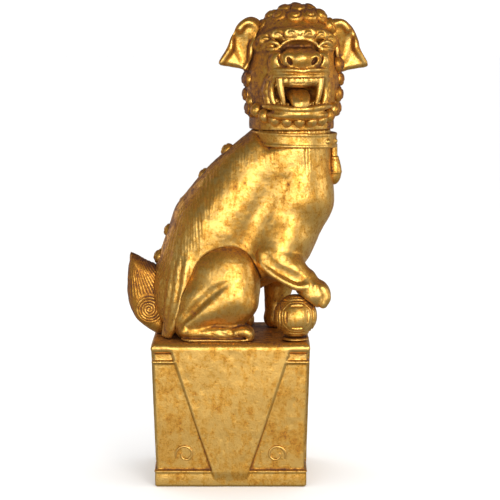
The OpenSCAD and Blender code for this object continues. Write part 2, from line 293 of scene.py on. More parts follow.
def egg(middle, radii, turn=(0, 0, 0)):
    """An ellipsoid, turned by Euler angles in degrees."""
    m = np.array(Euler([math.radians(t) for t in turn]).to_matrix()).T
    c, r = np.array(middle, float), np.array(radii, float)
    extent = np.sqrt(((m.T * r) ** 2).sum(1))

    def distance(x, y, z):
        px, py, pz = x - c[0], y - c[1], z - c[2]
        near, far = 1e-8, 1e-12
        for i in range(3):
            u = (m[i, 0] * px + m[i, 1] * py + m[i, 2] * pz) / r[i]
            near = near + u * u
            far = far + (u / r[i]) ** 2
        near = np.sqrt(near)
        return (near * (near - 1) / np.sqrt(far)).astype(np.float32)

    return distance, c - extent, c + extent


def limb(points, wide=1.0):
    """Round limbs along points (x, y, z, radius). wide stretches them along Y about their own middle."""
    p = np.array(points, float)

    def distance(x, y, z):
        best = None
        for a, b in zip(p[:-1], p[1:]):
            run = (b - a)[:3] * (1, 1 / wide, 1)
            px, py, pz = x - a[0], (y - a[1]) / wide, z - a[2]
            t = np.clip((px * run[0] + py * run[1] + pz * run[2]) / max(run @ run, 1e-9), 0, 1)
            d = np.sqrt((px - t * run[0]) ** 2 + (py - t * run[1]) ** 2 + (pz - t * run[2]) ** 2)
            d = d - (a[3] + t * (b[3] - a[3]))
            best = d if best is None else np.minimum(best, d)
        return best.astype(np.float32)

    reach = p[:, 3:] * np.array([1, max(wide, 1), 1])
    return distance, (p[:, :3] - reach).min(0), (p[:, :3] + reach).max(0)


def slab(low, high, edge):
    """A box with rounded edges."""
    low, high = np.array(low, float), np.array(high, float)
    middle, half = (low + high) / 2, (high - low) / 2 - edge

    def distance(x, y, z):
        qx, qy, qz = [np.abs(value - m) - h for value, m, h in zip((x, y, z), middle, half)]
        out = np.sqrt(np.maximum(qx, 0) ** 2 + np.maximum(qy, 0) ** 2 + np.maximum(qz, 0) ** 2)
        return (out + np.minimum(np.maximum(np.maximum(qx, qy), qz), 0) - edge).astype(np.float32)

    return distance, low, high


def sole(start, end, half_width, top):
    """A thin plate with round ends, flat on the deck between two points (x, y)."""
    a, b = np.array(start, float), np.array(end, float)
    run = b - a

    def distance(x, y, z):
        t = np.clip(((x - a[0]) * run[0] + (y - a[1]) * run[1]) / (run @ run), 0, 1)
        out = np.sqrt((x - a[0] - t * run[0]) ** 2 + (y - a[1] - t * run[1]) ** 2) - half_width + 1
        up = z - top + 1
        rounded = np.sqrt(np.maximum(out, 0) ** 2 + np.maximum(up, 0) ** 2)
        return (rounded + np.minimum(np.maximum(out, up), 0) - 1).astype(np.float32)

    low, high = np.minimum(a, b) - half_width, np.maximum(a, b) + half_width
    return distance, np.array([*low, -3.0]), np.array([*high, top])


def leaf(outline, thickness, edge, offset=0.0):
    """A pillow over an outline of (x, z) points; edge is how far in it rounds off."""
    p = np.array(outline, float)

    def distance(x, y, z):
        best, inside = None, None
        for a, b in zip(p, np.roll(p, -1, 0)):
            run = b - a
            px, pz = x - a[0], z - a[1]
            t = np.clip((px * run[0] + pz * run[1]) / max(run @ run, 1e-9), 0, 1)
            d = (px - t * run[0]) ** 2 + (pz - t * run[1]) ** 2
            best = d if best is None else np.minimum(best, d)
            crosses = (a[1] <= z) != (b[1] <= z)
            slope = (b[0] - a[0]) / (b[1] - a[1]) if b[1] != a[1] else 0.0
            flip = crosses & (x < a[0] + slope * (z - a[1]))
            inside = flip if inside is None else inside ^ flip
        flat = np.where(inside, -np.sqrt(best), np.sqrt(best))
        core = np.maximum(flat + edge, 0)
        return (np.sqrt(core ** 2 + ((y - offset) * 2 * edge / thickness) ** 2) - edge).astype(np.float32)

    half = thickness / 2
    low = np.array([p[:, 0].min(), offset - half, p[:, 1].min()])
    high = np.array([p[:, 0].max(), offset + half, p[:, 1].max()])
    return distance, low, high


def curl(middle, out, radius, height, spin=0.0, hand=1, pitch=4.6, depth=1.1):
    """A snail curl: a dome facing along out, with a spiral groove."""
    n = np.array(out, float)
    n /= np.linalg.norm(n)
    side = np.cross(n, (0, 0, 1) if abs(n[2]) < 0.9 else (0, 1, 0))
    side /= np.linalg.norm(side)
    up = np.cross(side, n)
    c = np.array(middle, float)

    def distance(x, y, z):
        px, py, pz = x - c[0], y - c[1], z - c[2]
        u = side[0] * px + side[1] * py + side[2] * pz
        v = up[0] * px + up[1] * py + up[2] * pz
        w = n[0] * px + n[1] * py + n[2] * pz
        r = np.sqrt(u * u + v * v)
        near = np.sqrt((r / radius) ** 2 + (w / height) ** 2 + 1e-8)
        far = np.sqrt((r / radius ** 2) ** 2 + (w / height ** 2) ** 2 + 1e-12)
        phase = r / pitch - hand * np.arctan2(v, u) / (2 * math.pi) + spin
        notch = (0.5 + 0.5 * np.cos(2 * math.pi * phase)) ** 3
        notch = notch * np.clip(r / pitch - 0.25, 0, 1) * np.clip(w / height + 0.5, 0, 1)
        return (near * (near - 1) / far + depth * notch).astype(np.float32)

    reach = max(radius, height)
    return distance, c - reach, c + reach


def curve(points, pieces=6):
    """A smooth line through points of any dimension."""
    p = np.array(points, float)
    p = np.concatenate([[2 * p[0] - p[1]], p, [2 * p[-1] - p[-2]]])
    out = []
    for a, b, c, d in zip(p, p[1:], p[2:], p[3:]):
        for t in np.arange(pieces) / pieces:
            out.append(0.5 * (2 * b + (c - a) * t + (2 * a - 5 * b + 4 * c - d) * t ** 2
                              + (3 * b - a - 3 * c + d) * t ** 3))
    return np.array(out + [p[-2]])


def mirrored(points, side):
    """Points with their x turned to one side of the face."""
    return [(side * q[0], *q[1:]) for q in points]


# ---------------------------------------------------------------- tooling: relief on a finished skin


def noise(points, size, seed=0):
    """Smooth noise between -1 and 1, with lumps of about size mm."""
    q = points / size + 11.7 * seed
    i = np.floor(q).astype(np.int64)
    f = q - i
    f = f * f * (3 - 2 * f)
    out = np.zeros(len(points))
    for corner in np.ndindex(2, 2, 2):
        j = (i + np.array(corner)).astype(np.uint32)
        h = j[:, 0] * np.uint32(374761393)
        h = h + j[:, 1] * np.uint32(668265263) + j[:, 2] * np.uint32(2246822519)
        h = (h ^ (h >> np.uint32(13))) * np.uint32(1274126177)
        h = h ^ (h >> np.uint32(16))
        weight = np.prod(np.where(np.array(corner), f, 1 - f), axis=1)
        out += weight * ((h & np.uint32(0xFFFF)) / 32767.5 - 1)
    return out


def step_between(value, low, high):
    """0 below low, 1 above high, and a smooth step between them."""
    t = np.clip((value - low) / (high - low), 0, 1)
    return t * t * (3 - 2 * t)


def normals_of(vertices, quads):
    """The unit normal at each vertex, weighed by the areas of the quads round it."""
    p = vertices[quads]
    face = np.cross(p[:, 2] - p[:, 0], p[:, 3] - p[:, 1])
    out = np.zeros_like(vertices)
    for k in range(quads.shape[1]):
        for axis in range(3):
            out[:, axis] += np.bincount(quads[:, k], face[:, axis], len(vertices))
    return out / np.maximum(np.linalg.norm(out, axis=1, keepdims=True), 1e-12)


def neighbour_mean(values, quads, count):
    """The mean of each vertex's neighbours along the quads' sides."""
    total = np.zeros((count, values.shape[1]))
    number = np.zeros(count)
    for k in range(4):
        a, b = quads[:, k], quads[:, (k + 1) % 4]
        for axis in range(values.shape[1]):
            total[:, axis] += np.bincount(a, values[b, axis], count)
            total[:, axis] += np.bincount(b, values[a, axis], count)
        number += np.bincount(a, None, count) + np.bincount(b, None, count)
    return total / np.maximum(number, 1)[:, None]


def grain(points):
    """The uneven, hand-worked surface under the leaf."""
    return 0.45 * noise(points, 17, 1) + 0.22 * noise(points, 6, 2) + 0.13 * noise(points, 2.6, 3)


def grained(amount):
    """Relief of grain alone."""
    return lambda points, normals: amount * grain(points)


def combed(points, normals, pitch=3.4, seed=5):
    """Hair combed downwards: fine grooves in upright planes, gathered into locks."""
    sway = 4.0 * noise(points * (1, 1, 0.35), 26, seed) + 1.3 * noise(points * (1, 1, 0.3), 8, seed + 1)
    strength = 0.75 + 0.5 * noise(points * (1, 1, 0.4), 11, seed + 3)
    out = np.zeros(len(points))
    weights = normals[:, :2] ** 4 + 1e-4
    weights /= weights.sum(1, keepdims=True)
    for axis in (0, 1):
        across = points[:, 1 - axis] + sway
        fine = np.cos(2 * math.pi * across / pitch)
        lock = np.cos(2 * math.pi * across / (3.3 * pitch) + 2 * noise(points * (1, 1, 0.2), 30, seed + 2))
        out += weights[:, axis] * (0.5 * fine + 0.35 * lock)
    return strength * out


# ---------------------------------------------------------------- pieces

blocks = []                                     # every clay block, with the frame it was made in
skins = []                                      # every piece waiting to become a mesh


def to_world(points, in_head):
    """Points in mm above the plinth's top, or in the head's own measures, to the CAD frame in mm."""
    p = np.array(points, float)
    if in_head:
        c, s = math.cos(HEAD_YAW), math.sin(HEAD_YAW)
        p = np.stack([HEAD_X + c * p[:, 0] - s * p[:, 1], s * p[:, 0] + c * p[:, 1], p[:, 2]], 1)
    return p + (0, 0, DECK)


def from_world(points, in_head):
    """The way back from the CAD frame in mm; see to_world."""
    p = np.array(points, float) - (0, 0, DECK)
    if in_head:
        c, s = math.cos(HEAD_YAW), math.sin(HEAD_YAW)
        x, y = p[:, 0] - HEAD_X, p[:, 1]
        p = np.stack([c * x + s * y, c * y - s * x, p[:, 2]], 1)
    return p


def finish_clay(name, nodes, clay, relief, in_head=False):
    """Skins a block, tools it, and queues it as the piece that stands for the CAD nodes."""
    vertices, quads = clay.skin()
    normals = normals_of(vertices, quads)
    vertices = vertices + normals * relief(vertices, normals)[:, None]
    blocks.append((clay, in_head))
    skins.append((name, nodes, to_world(vertices, in_head), quads))


# ---- the figure's body


def torso_clay():
    """The body: chest, belly, back, neck, shoulders and haunches, with locks of hair on the flanks."""
    clay = Clay((-108, -66, -6), (140, 66, 266), 1.4)
    clay.add(limb([(-46, 0, 60, 53), (-18, 0, 134, 56), (30, 0, 205, 48), (58, 0, 230, 47)], 0.91))
    clay.add(limb([(54, 0, 122, 48), (78, 0, 172, 52), (75, 0, 214, 50), (75, 0, 262, 50)], 0.9), 14)
    clay.add(limb([(-30, 0, 62, 44), (36, 0, 104, 40), (54, 0, 122, 42)], 0.9), 24)
    clay.add(limb([(-50, 0, 34, 43), (-10, 0, 34, 34)], 0.95), 18)
    for side in (-1, 1):
        hollow_line = [(68, side * 52, 196, 5), (60, side * 57, 170, 6), (66, side * 54, 146, 5)]
        clay.groove(hollow_line, 9)
        for shift, reach in ((0, 36), (-7, 31), (8, 40)):
            lock = [(-50 + shift, side * (reach - 5), 136, 2), (-57 + shift, side * reach, 112, 4.6),
                    (-63 + shift, side * (reach + 5), 84, 5.4),
                    (-68 + shift, side * (reach + 8), 50, 5.4),
                    (-75 + 0.6 * shift, side * (reach + 6), 18, 5),
                    (-80 + 0.4 * shift, side * (reach + 2), 2, 4)]
            clay.trace(lock, 2.5)
    clay.keep((neck_room, None, None), 7)
    return clay


def collar_oval(x, y, inset):
    """How far a point lies outside an oval that is inset from the collar's outer size."""
    rx, ry = COLLAR_HALF_LENGTH - inset, COLLAR_HALF_WIDTH - inset
    u, v = (x - COLLAR_X) / rx, y / ry
    near = np.sqrt(u * u + v * v + 1e-8)
    return near * (near - 1) / np.sqrt((u / rx) ** 2 + (v / ry) ** 2 + 1e-12)


def neck_room(x, y, z):
    """Keeps the neck inside the collar, and lets the back slope up to it."""
    inset = 4.2
    backwards = (COLLAR_X - x) / (COLLAR_HALF_LENGTH - inset)
    start = 239.0 + 18 * step_between(backwards, 0.62, 1.05)
    return (collar_oval(x, y, inset) - np.maximum(start - z, 0) * 1.25).astype(np.float32)


def hind_leg_clay(side):
    """The haunch: one broad egg from the back of the plinth up to the knee."""
    clay = Clay((-88, min(side * 10, side * 84), -6), (48, max(side * 10, side * 84), 134), 1.25)
    clay.add(egg((-7, side * 40, 71), (43.5, 28, 45.5)))
    clay.add(egg((-1, side * 42, 52), (34, 27, 42)), 10)
    clay.add(egg((-36, side * 39, 42), (30, 26, 33), (0, -30, 0)), 12)
    clay.add(egg((-48, side * 36, 20), (25, 24, 26)), 10)
    return clay


def hind_shin_and_paw(clay, side):
    """The crease between haunch and shank, and the long flat foot with its toes."""
    shank = [(-52, side * 52, 24, 10), (-24, side * 55, 38, 13), (6, side * 55, 52, 14),
             (18, side * 52, 44, 14)]
    clay.trace(shank, 10)
    crease = [(2, side * 74, 75, 1.4), (-8, side * 72, 71, 2.6), (-22, side * 70, 62, 3.8),
              (-38, side * 67.5, 47, 4.4), (-52, side * 64, 32, 4), (-64, side * 60, 20, 3)]
    clay.groove(crease, 6)
    clay.groove([(-56, side * 68, 20, 2), (-12, side * 70, 22, 3), (26, side * 68, 22, 3)], 4)
    clay.add(limb([(-48, side * 54, 9, 8), (-8, side * 55, 9, 9), (10, side * 53, 9, 10)]), 4)
    clay.add(egg((-57, side * 55, 11.5), (7.5, 9, 8.5)), 2)
    for i in range(4):
        y = 39 + 7.4 * i
        reach = 2.5 * math.sin(math.pi * (i + 0.5) / 4)
        toe = [(6, side * y, 10, 5.5), (14 + reach, side * y, 12, 6.4), (21 + reach, side * y, 9, 6),
               (23 + reach, side * y, 4, 4.4)]
        clay.trace(toe, 1.4, 4)
    for t in (-34, -20, -6):
        sinew = [(t - 10, side * 64, 18, 1), (t + 2, side * 65, 13, 1.6), (t + 16, side * 64, 7, 1)]
        clay.groove(sinew, 1.5, 4)
    clay.add(sole((-46, side * 53), (13, side * 52), 15.5, 2.6), 0.6)


def raised_foreleg_clay():
    """The foreleg that rests on the ball, as far as its wrist."""
    clay = Clay((2, -80, 26), (138, 4, 168), 1.15, 24)
    clay.add(limb([(66, -26, 118, 24), (54, -37, 101, 19), (72, -42, 88, 18)]))
    clay.add(limb([(56, -40, 96, 18), (78, -44, 82, 16.5), (92, -45, 74, 15)]), 8)
    return clay


def raised_paw(clay):
    """The fringe under the forearm, the cuff at the wrist, and the paw with its toes over the ball."""
    fringe = [(36, -49, 108, 2.6), (40, -54, 93, 4), (54, -58, 81.5, 4.6), (69, -60, 73, 4.8),
              (81, -61, 67, 4.6), (92, -60, 67.5, 3.8), (103, -58, 71, 2.4)]
    clay.trace(fringe, 4)
    clay.groove([(44, -60, 104, 3), (54, -63, 93, 4), (68, -65, 84.5, 4.6), (84, -65, 78, 4),
                 (96, -63.5, 76, 2)], 7)
    clay.add(egg((103, -47, 56.5), (20, 18.5, 17.5)), 3)
    clay.add(egg((96, -46, 66), (16, 17, 14)), 5)
    for i in range(4):
        y = -59 + 8.6 * i
        drop = 1.6 * abs(i - 1.5)
        toe = [(102, y, 70 - drop, 5), (112, y, 67.5 - drop, 6.2), (117.5, y, 57 - drop, 6.6),
               (114, y, 46, 6)]
        clay.trace(toe, 1.8, 4)
    for fold in ([(92, -55.5, 86, 0.8), (96.5, -61, 77, 1.6), (99, -64, 69, 1.8), (100, -66, 61, 1.4),
                  (99.5, -66.5, 55, 0.7)],
                 [(101, -56, 82, 0.7), (105, -60, 75, 1.5), (107.5, -63.5, 67, 1.7),
                  (108, -65.5, 59, 1.2), (107, -66.5, 53, 0.6)]):
        clay.groove(fold, 1.5, 4)
    clay.carve(egg(BALL, (BALL_RADIUS + 0.3,) * 3), 0)


def standing_foreleg_clay():
    """The foreleg that stands on the deck, with its toes."""
    clay = Clay((20, -2, -6), (112, 72, 160), 1.25, 20)
    clay.add(limb([(72, 26, 116, 26), (68, 32, 82, 24), (62, 36, 56, 18.5), (58.5, 37, 34, 15.5),
                   (58.5, 37, 12, 15)]))
    clay.add(limb([(54, 37, 10, 12), (66, 38, 9, 11)]), 4)
    for i in range(4):
        y = 25.5 + 7.6 * i
        reach = 2.5 * math.sin(math.pi * (i + 0.5) / 4)
        toe = [(60, y, 12, 6), (71 + reach, y, 12, 6.6), (79 + reach, y, 5.5, 5.2)]
        clay.trace(toe, 1.0, 4)
    clay.carve(egg(BALL, (BALL_RADIUS + 0.6,) * 3), 0)
    return clay


def share(a, b, blend, lap=-0.02):
    """Blends two castings into one form, and parts them again where their surfaces are equally near.

    A lap lets each run that far past the parting, so that no seam shows.
    """
    near_a = a.on_lattice_of(b)
    old_b = b.d
    both = soft_min(near_a, old_b, blend)
    b.d = np.maximum(both, (old_b - near_a) / 2 - lap)
    cut, _, _, _ = a.window(b.low, b.low + b.step * (np.array(b.d.shape) - 1))
    part = Clay(a.low, a.low, a.step / COARSE)
    part.low = a.low + a.step * np.array([s.start for s in cut])
    part.d = a.d[cut]
    whole_b = Clay(b.low, b.low, b.step / COARSE)
    whole_b.low, whole_b.d = b.low, old_b
    near_b = whole_b.on_lattice_of(part)
    both = soft_min(part.d, near_b, blend)
    a.d[cut] = np.maximum(both, (part.d - near_b) / 2 - lap)


def between_levels(low, high=FAR * FAR):
    """The form that holds everything between two heights."""
    return lambda x, y, z: np.maximum(low - z, z - high) + 0 * x + 0 * y, None, None


def torso_relief(points, normals):
    """Combed hair under the collar and down the back, fading out over the chest and flanks."""
    x, z = points[:, 0], points[:, 2]
    ragged = 9 * noise(points * (1, 0.4, 0.25), 8, 8)
    under_collar = step_between(z + 1.6 * ragged, 186, 222)
    back_line = -82 + 0.55 * (z - 100)              # the back's own slant, seen from the side
    down_back = step_between(back_line + 46 + ragged - x, 0, 24)
    amount = np.maximum(0.8 * under_collar, down_back)
    return 0.8 * grain(points) + 0.6 * amount * combed(points, normals) + 1.2 * down_back


# The tail: a leaf-shaped lock, seen from the side, with its tip up and a spiral low down.
TAIL_OUTLINE = [
    (-78, -4), (-92, -2), (-105, 5), (-119, 17), (-128, 34), (-131, 54), (-130, 76), (-126.5, 102),
    (-117, 98), (-107, 92), (-98, 88), (-90, 84), (-82, 70), (-74, 40)]
TAIL_EYE = (-102.5, 32)
TAIL_RINGS = 18.5


def tail_clay():
    """The tail that lies up against the back."""
    clay = Clay((-138, -34, -6), (-60, 34, 110), 0.9)
    outline = curve(TAIL_OUTLINE[:7], 4).tolist() + TAIL_OUTLINE[7:]
    clay.add(leaf(outline, 38, 15))
    for side in (-1, 1):
        clay.add(egg((TAIL_EYE[0], side * 10, TAIL_EYE[1]), (20, 11, 20)), 4)
        for shift in (0, 8):
            strand = [(-80 + shift, side * 17, 6, 3), (-79 + shift, side * (21 + shift / 3), 30, 4.6),
                      (-82 + shift, side * (22 + shift / 3), 54, 4.6), (-90 + shift, side * 19, 80, 3.4)]
            clay.trace(strand, 2.5)
    return clay


def tail_relief(points, normals):
    """Rings round the tail's eye, and hair that fans out to its tip."""
    x, z = points[:, 0] - TAIL_EYE[0], points[:, 2] - TAIL_EYE[1]
    r = np.hypot(x, z)
    rings = np.cos(2 * math.pi * (r / 3.5 - np.arctan2(z, x) / (2 * math.pi)))
    in_rings = step_between(TAIL_RINGS - r, 0, 2) * step_between(np.abs(normals[:, 1]), 0.3, 0.6)
    tip_x, tip_z = points[:, 0] + 127, 118 - points[:, 2]
    fan = np.cos(2 * math.pi * 9 * np.arctan2(tip_x, np.maximum(tip_z, 6)) * 1.9
                 + 0.8 * noise(points, 14, 9))
    in_fan = (1 - step_between(TAIL_RINGS + 3 - r, 0, 3)) * step_between(z, 8, 22)
    return 0.6 * grain(points) + 0.62 * in_rings * rings + 0.42 * in_fan * fan


SPINE = [(-6, 231), (-34, 200), (-59, 166), (-78, 131), (-91, 98)]


def spine_clay():
    """The row of separate snail curls down the back."""
    clay = Clay((-108, -20, 76), (12, 20, 250), 0.9)
    for i, (x, z) in enumerate(SPINE):
        clay.add(curl((x + 1.8, 0, z - 1.1), (-0.85, 0, 0.53), 10, 8, 0.25 * i, 1, 4.8, 1.2))
    return clay


def build_body():
    """The body, its four legs, its tail and its spine curls, each cut apart from the others."""
    torso = torso_clay()
    legs = {side: hind_leg_clay(side) for side in (-1, 1)}
    raised, standing = raised_foreleg_clay(), standing_foreleg_clay()
    for side in (-1, 1):
        share(torso, legs[side], 3)
    share(torso, raised, 22, LAP)
    share(torso, standing, 16, LAP)
    torso.soften(1)
    for side, leg in legs.items():
        hind_shin_and_paw(leg, side)
        leg.cut_by(torso)
        leg.keep(between_levels(FLOOR))
    raised_paw(raised)
    raised.soften(2)
    standing.keep(between_levels(FLOOR))
    torso.keep(between_levels(FLOOR, NECK_JOINT - GAP))
    tail = tail_clay()
    tail.cut_by(torso)
    for leg in legs.values():
        tail.cut_by(leg)
    tail.keep(between_levels(FLOOR))
    spine = spine_clay()
    spine.cut_by(torso)
    finish_clay("torso", ["torso_shell"], torso, torso_relief)
    finish_clay("right_hind_leg_carved", ["right_hind_leg"], legs[-1], grained(0.8))
    finish_clay("left_hind_leg_carved", ["left_hind_leg"], legs[1], grained(0.8))
    finish_clay("right_foreleg_carved", ["right_foreleg"], raised, grained(0.8))
    finish_clay("left_foreleg_carved", ["left_foreleg"], standing, grained(0.8))
    finish_clay("tail_carved", ["tail"], tail, tail_relief)
    finish_clay("spine_curls_carved", ["spine_curls"], spine, grained(0.8))


# ---- the collar, the bell and the ball


def build_collar():
    """The collar: a strap round the neck between two ropes."""
    clay = Clay((COLLAR_X - 68, -60, 226), (COLLAR_X + 70, 60, 264), 0.95)
    inset = 2.6                                 # from the collar's outer size to the middle of its strap
    rx, ry = COLLAR_HALF_LENGTH - inset, COLLAR_HALF_WIDTH - inset

    def middle_height(x):
        return COLLAR_MIDDLE + 0.6 - 0.03 * (x - COLLAR_X)

    def band(x, y, z):
        across = np.abs(z - middle_height(x)) - 7.2
        thick = np.abs(collar_oval(x, y, inset)) - 2.0
        q = np.sqrt(np.maximum(across, 0) ** 2 + np.maximum(thick, 0) ** 2)
        return (q + np.minimum(np.maximum(across, thick), 0) - 0.8).astype(np.float32)

    corner = np.array([COLLAR_HALF_LENGTH, COLLAR_HALF_WIDTH, 12])
    middle = np.array([COLLAR_X, 0, COLLAR_MIDDLE])
    clay.add((band, middle - corner, middle + corner))
    for offset, radius in ((-7.2, 2.1), (7.2, 1.6)):
        rope = []
        for a in np.linspace(0, 2 * math.pi, 60):
            x = COLLAR_X + (rx + 1.8) * math.cos(a)
            rope.append((x, (ry + 1.8) * math.sin(a), middle_height(x) + offset, radius))
        clay.add(limb(rope), 1.5)
    for a in (-18, -40):
        turn = math.radians(a)
        x, y = COLLAR_X + (rx + 2.4) * math.cos(turn), (ry + 2.4) * math.sin(turn)
        clay.add(egg((x, y, middle_height(x) - 1), (3.4, 3.4, 3.4)), 0.6)
    finish_clay("collar_band", ["collar"], clay, grained(0.4))


def build_bell():
    """A long drop-shaped bell that hangs from the collar by a tab and lies against the chest."""
    middle_x, low = (BELL_LOW[0] + BELL_HIGH[0]) / 2 - 2.5, BELL_LOW[2] - DECK
    clay = Clay((middle_x - 16, -16, low - 9), (middle_x + 14, 16, low + 52), 0.7)
    clay.add(egg((middle_x, 0, low + 11), (9.4, 9.4, 17)))
    clay.add(limb([(middle_x, 0, low + 24, 6), (middle_x - 0.5, 0, low + 31, 4.6),
                   (middle_x - 1, 0, low + 42, 5)]), 4)
    for z, r in ((low + 28, 5.6), (low + 10, 9.6)):
        turns = np.linspace(0, 2 * math.pi, 28)
        ring = [(middle_x + (r - 0.7) * math.cos(a), (r - 0.7) * math.sin(a), z, 1.1) for a in turns]
        clay.add(limb(ring), 1.2)
    clay.keep(between_levels(-FAR, COLLAR_MIDDLE - 8.6))
    finish_clay("bell_turned", ["bell"], clay, grained(0.25))


def ball_relief(points, normals):
    """A brocade ball: six pillowed panels with a slot along each side, and sunk bands between them."""
    n = (points - BALL) / np.linalg.norm(points - BALL, axis=1, keepdims=True)
    tilt = np.array(Euler((math.radians(-6), 0, math.radians(4))).to_matrix())
    n = n @ tilt
    axis = np.argmax(np.abs(n), axis=1)
    main = np.abs(n[np.arange(len(n)), axis])
    u = n[np.arange(len(n)), (axis + 1) % 3] / main
    v = n[np.arange(len(n)), (axis + 2) % 3] / main
    edge = np.maximum(np.maximum(np.abs(u), np.abs(v)), (np.abs(u) + np.abs(v)) * 0.66)
    panel = step_between(0.84 - edge, 0, 0.11)
    rib = np.exp(-((edge - 0.97) / 0.06) ** 2)
    slot = 0
    for a, b in ((u, v), (v, u)):
        slot = slot + np.exp(-((np.abs(a) - 0.58) / 0.055) ** 2) * step_between(0.33 - np.abs(b), 0, 0.08)
    return 0.25 * grain(points) + 1.3 * panel + 0.7 * rib - 1.5 * slot - 1.3


def build_ball():
    """The brocade ball under the raised paw, and its turned foot."""
    x, y, z = BALL
    r = BALL_RADIUS
    clay = Clay((x - r - 3, y - r - 3, z - r - 3), (x + r + 3, y + r + 3, z + r + 3), 0.8)
    clay.add(egg(BALL, (r, r, r)))
    clay.carve(slab((x - 15, y - 15, -20), (x + 15, y + 15, FOOT_HIGH[2] - DECK), 0.2), 0)
    finish_clay("ball_carved", ["ball"], clay, ball_relief)
    foot = Clay((x - 20, y - 20, -3), (x + 20, y + 20, 8), 0.6)
    wide = (FOOT_HIGH[0] - FOOT_LOW[0]) / 2
    high = FOOT_HIGH[2] - DECK

    def disc(px, py, pz):
        radial = np.sqrt((px - x) ** 2 + (py - y) ** 2)
        waist = wide - 1.6 + 1.6 * np.sin(math.pi * np.clip(pz / high, 0, 1))
        return np.maximum(radial - waist, np.abs(pz - high / 2) - high / 2).astype(np.float32)

    corner = np.array([wide + 1, wide + 1, high / 2])
    middle = np.array([x, y, high / 2])
    foot.add((disc, middle - corner, middle + corner))
    finish_clay("ball_foot_turned", ["ball_foot"], foot, grained(0.2))


# ---- the head, in its own measures: x across the face, y backwards, z above the plinth's top


def head_core():
    """The skull, the cheeks and the neck, which everything else on the head is laid over."""
    clay = Clay((-70, -92, 252), (70, 66, 418), 1.05)
    clay.add(egg((0, 0, 356), (52, 51, 50)))
    for side in (-1, 1):
        clay.add(egg((side * 19, -3, 314), (39, 38, 46)), 14)
    clay.add(limb([(0, 2, 246, 49), (0, 2, 264, 53), (0, 2, 300, 51)], 0.9), 10)
    return clay


def both_ways(points):
    """A line given from its middle outwards, completed with its mirror image."""
    return [(-q[0], *q[1:]) for q in reversed(points[1:])] + list(points)


def add_muzzle(clay):
    """The blunt snout: a broad nose with two round wings, whisker pads, and a double lip."""
    clay.add(egg((0, -44, 338), (35, 30, 16)), 7)
    for x in (-11, 0, 11):
        clay.add(limb([(x, -44, 352, 7), (x, -59, 347.5, 9.2)]), 4)
    clay.trace(both_ways([(0, -67, 328, 6), (12, -65.5, 328, 6), (24, -59, 328, 6),
                          (33, -50, 328, 5)]), 4, 6)
    clay.add(egg((0, -66, 345), (15, 12.5, 11.5)), 3)
    for side in (-1, 1):
        clay.add(egg((side * 15, -63.5, 344.5), (10, 12, 10.5)), 2.5)
        clay.add(egg((side * 29, -51, 343), (8.5, 12, 12.5), (0, side * -12, 0)), 4)
        clay.carve(egg((side * 15, -77, 342), (3.2, 10, 6), (0, side * 34, 0)), 1.4)
        wing = mirrored([(17, -66, 356.5, 1.2), (24.5, -62, 351, 1.7), (25.5, -61.5, 343, 1.9),
                         (21, -68, 335.5, 1.8), (11, -76, 334, 1.5), (4, -78.5, 333.5, 1)], side)
        clay.groove(wing, 1.6)
    clay.trace(both_ways([(0, -73.5, 330.3, 2.5), (10, -72.8, 331.6, 2.7), (22, -67, 331.8, 2.7),
                          (33, -56.5, 331, 2.4), (36, -51, 327, 1.8)]), 1.4, 6)
    clay.trace(both_ways([(0, -72.5, 324.2, 2.4), (12, -71, 324.4, 2.5), (24, -64.5, 324.4, 2.4),
                          (32, -56.5, 323.5, 2.0), (36, -50, 320, 1.6)]), 1.2, 6)


def add_brows(clay):
    """A heavy brow of knotted hair, overhanging an arched hollow above the nose."""
    brow = [(0, -51, 375, 8), (16, -49.5, 374, 8), (31, -42.5, 371.5, 7.5), (42, -34, 367, 6.5),
            (48, -24, 361, 4.5)]
    clay.trace(both_ways(brow), 10, 6)
    for side in (-1, 1):
        for x, y, z, wide, high, tilt in ((10, -53.5, 375.5, 10.5, 6.8, -8), (26, -49, 374, 10.5, 7, 12),
                                          (40, -39.5, 368.5, 10, 6.6, 34)):
            clay.add(egg((side * x, y, z), (wide, 6.5, high), (0, side * tilt, 0)), 1.6)
            comma = mirrored([(x - 8, y - 5, z - 4, 1), (x - 3, y - 6.6, z + 3.4, 1.3),
                              (x + 4, y - 5.6, z + 3, 1.5), (x + 5, y - 6, z - 1.5, 1.2),
                              (x + 0.5, y - 6.6, z - 1.5, 0.8)], side)
            clay.groove(comma, 2)
    clay.carve(egg((0, -60, 355), (24, 14, 11.5)), 2)
    arch = both_ways([(0, -55.5, 368.6, 2.5), (12, -55, 367.2, 2.5), (21, -53.5, 362, 2.3),
                      (27, -51, 354, 1.6)])
    clay.trace(arch, 1.4, 6)


def add_eyes(clay):
    """Narrow eyes between thick lids, with a fold of skin under each."""
    for side in (-1, 1):
        clay.carve(egg((side * 33, -52, 361.5), (10, 8, 5.4), (0, side * 10, 0)), 3)
        clay.add(egg((side * 32.5, -42.4, 361.5), (8, 8, 6.6)), 0.8)
        upper = mirrored([(23.5, -54, 358.5, 1.5), (28, -54, 363.4, 2.4), (34, -51, 365, 2.7),
                          (41, -44.5, 361.5, 2.4), (45, -38, 356, 1.4)], side)
        clay.trace(upper, 2)
        lower = mirrored([(24.5, -54, 358, 1.4), (29, -53, 357, 2.1), (36, -48.5, 356.6, 2.3),
                          (43, -41, 356.2, 1.4)], side)
        clay.trace(lower, 1.4)
        clay.add(egg((side * 31, -49.5, 351.5), (6.5, 5.5, 4), (0, side * 10, 0)), 2)


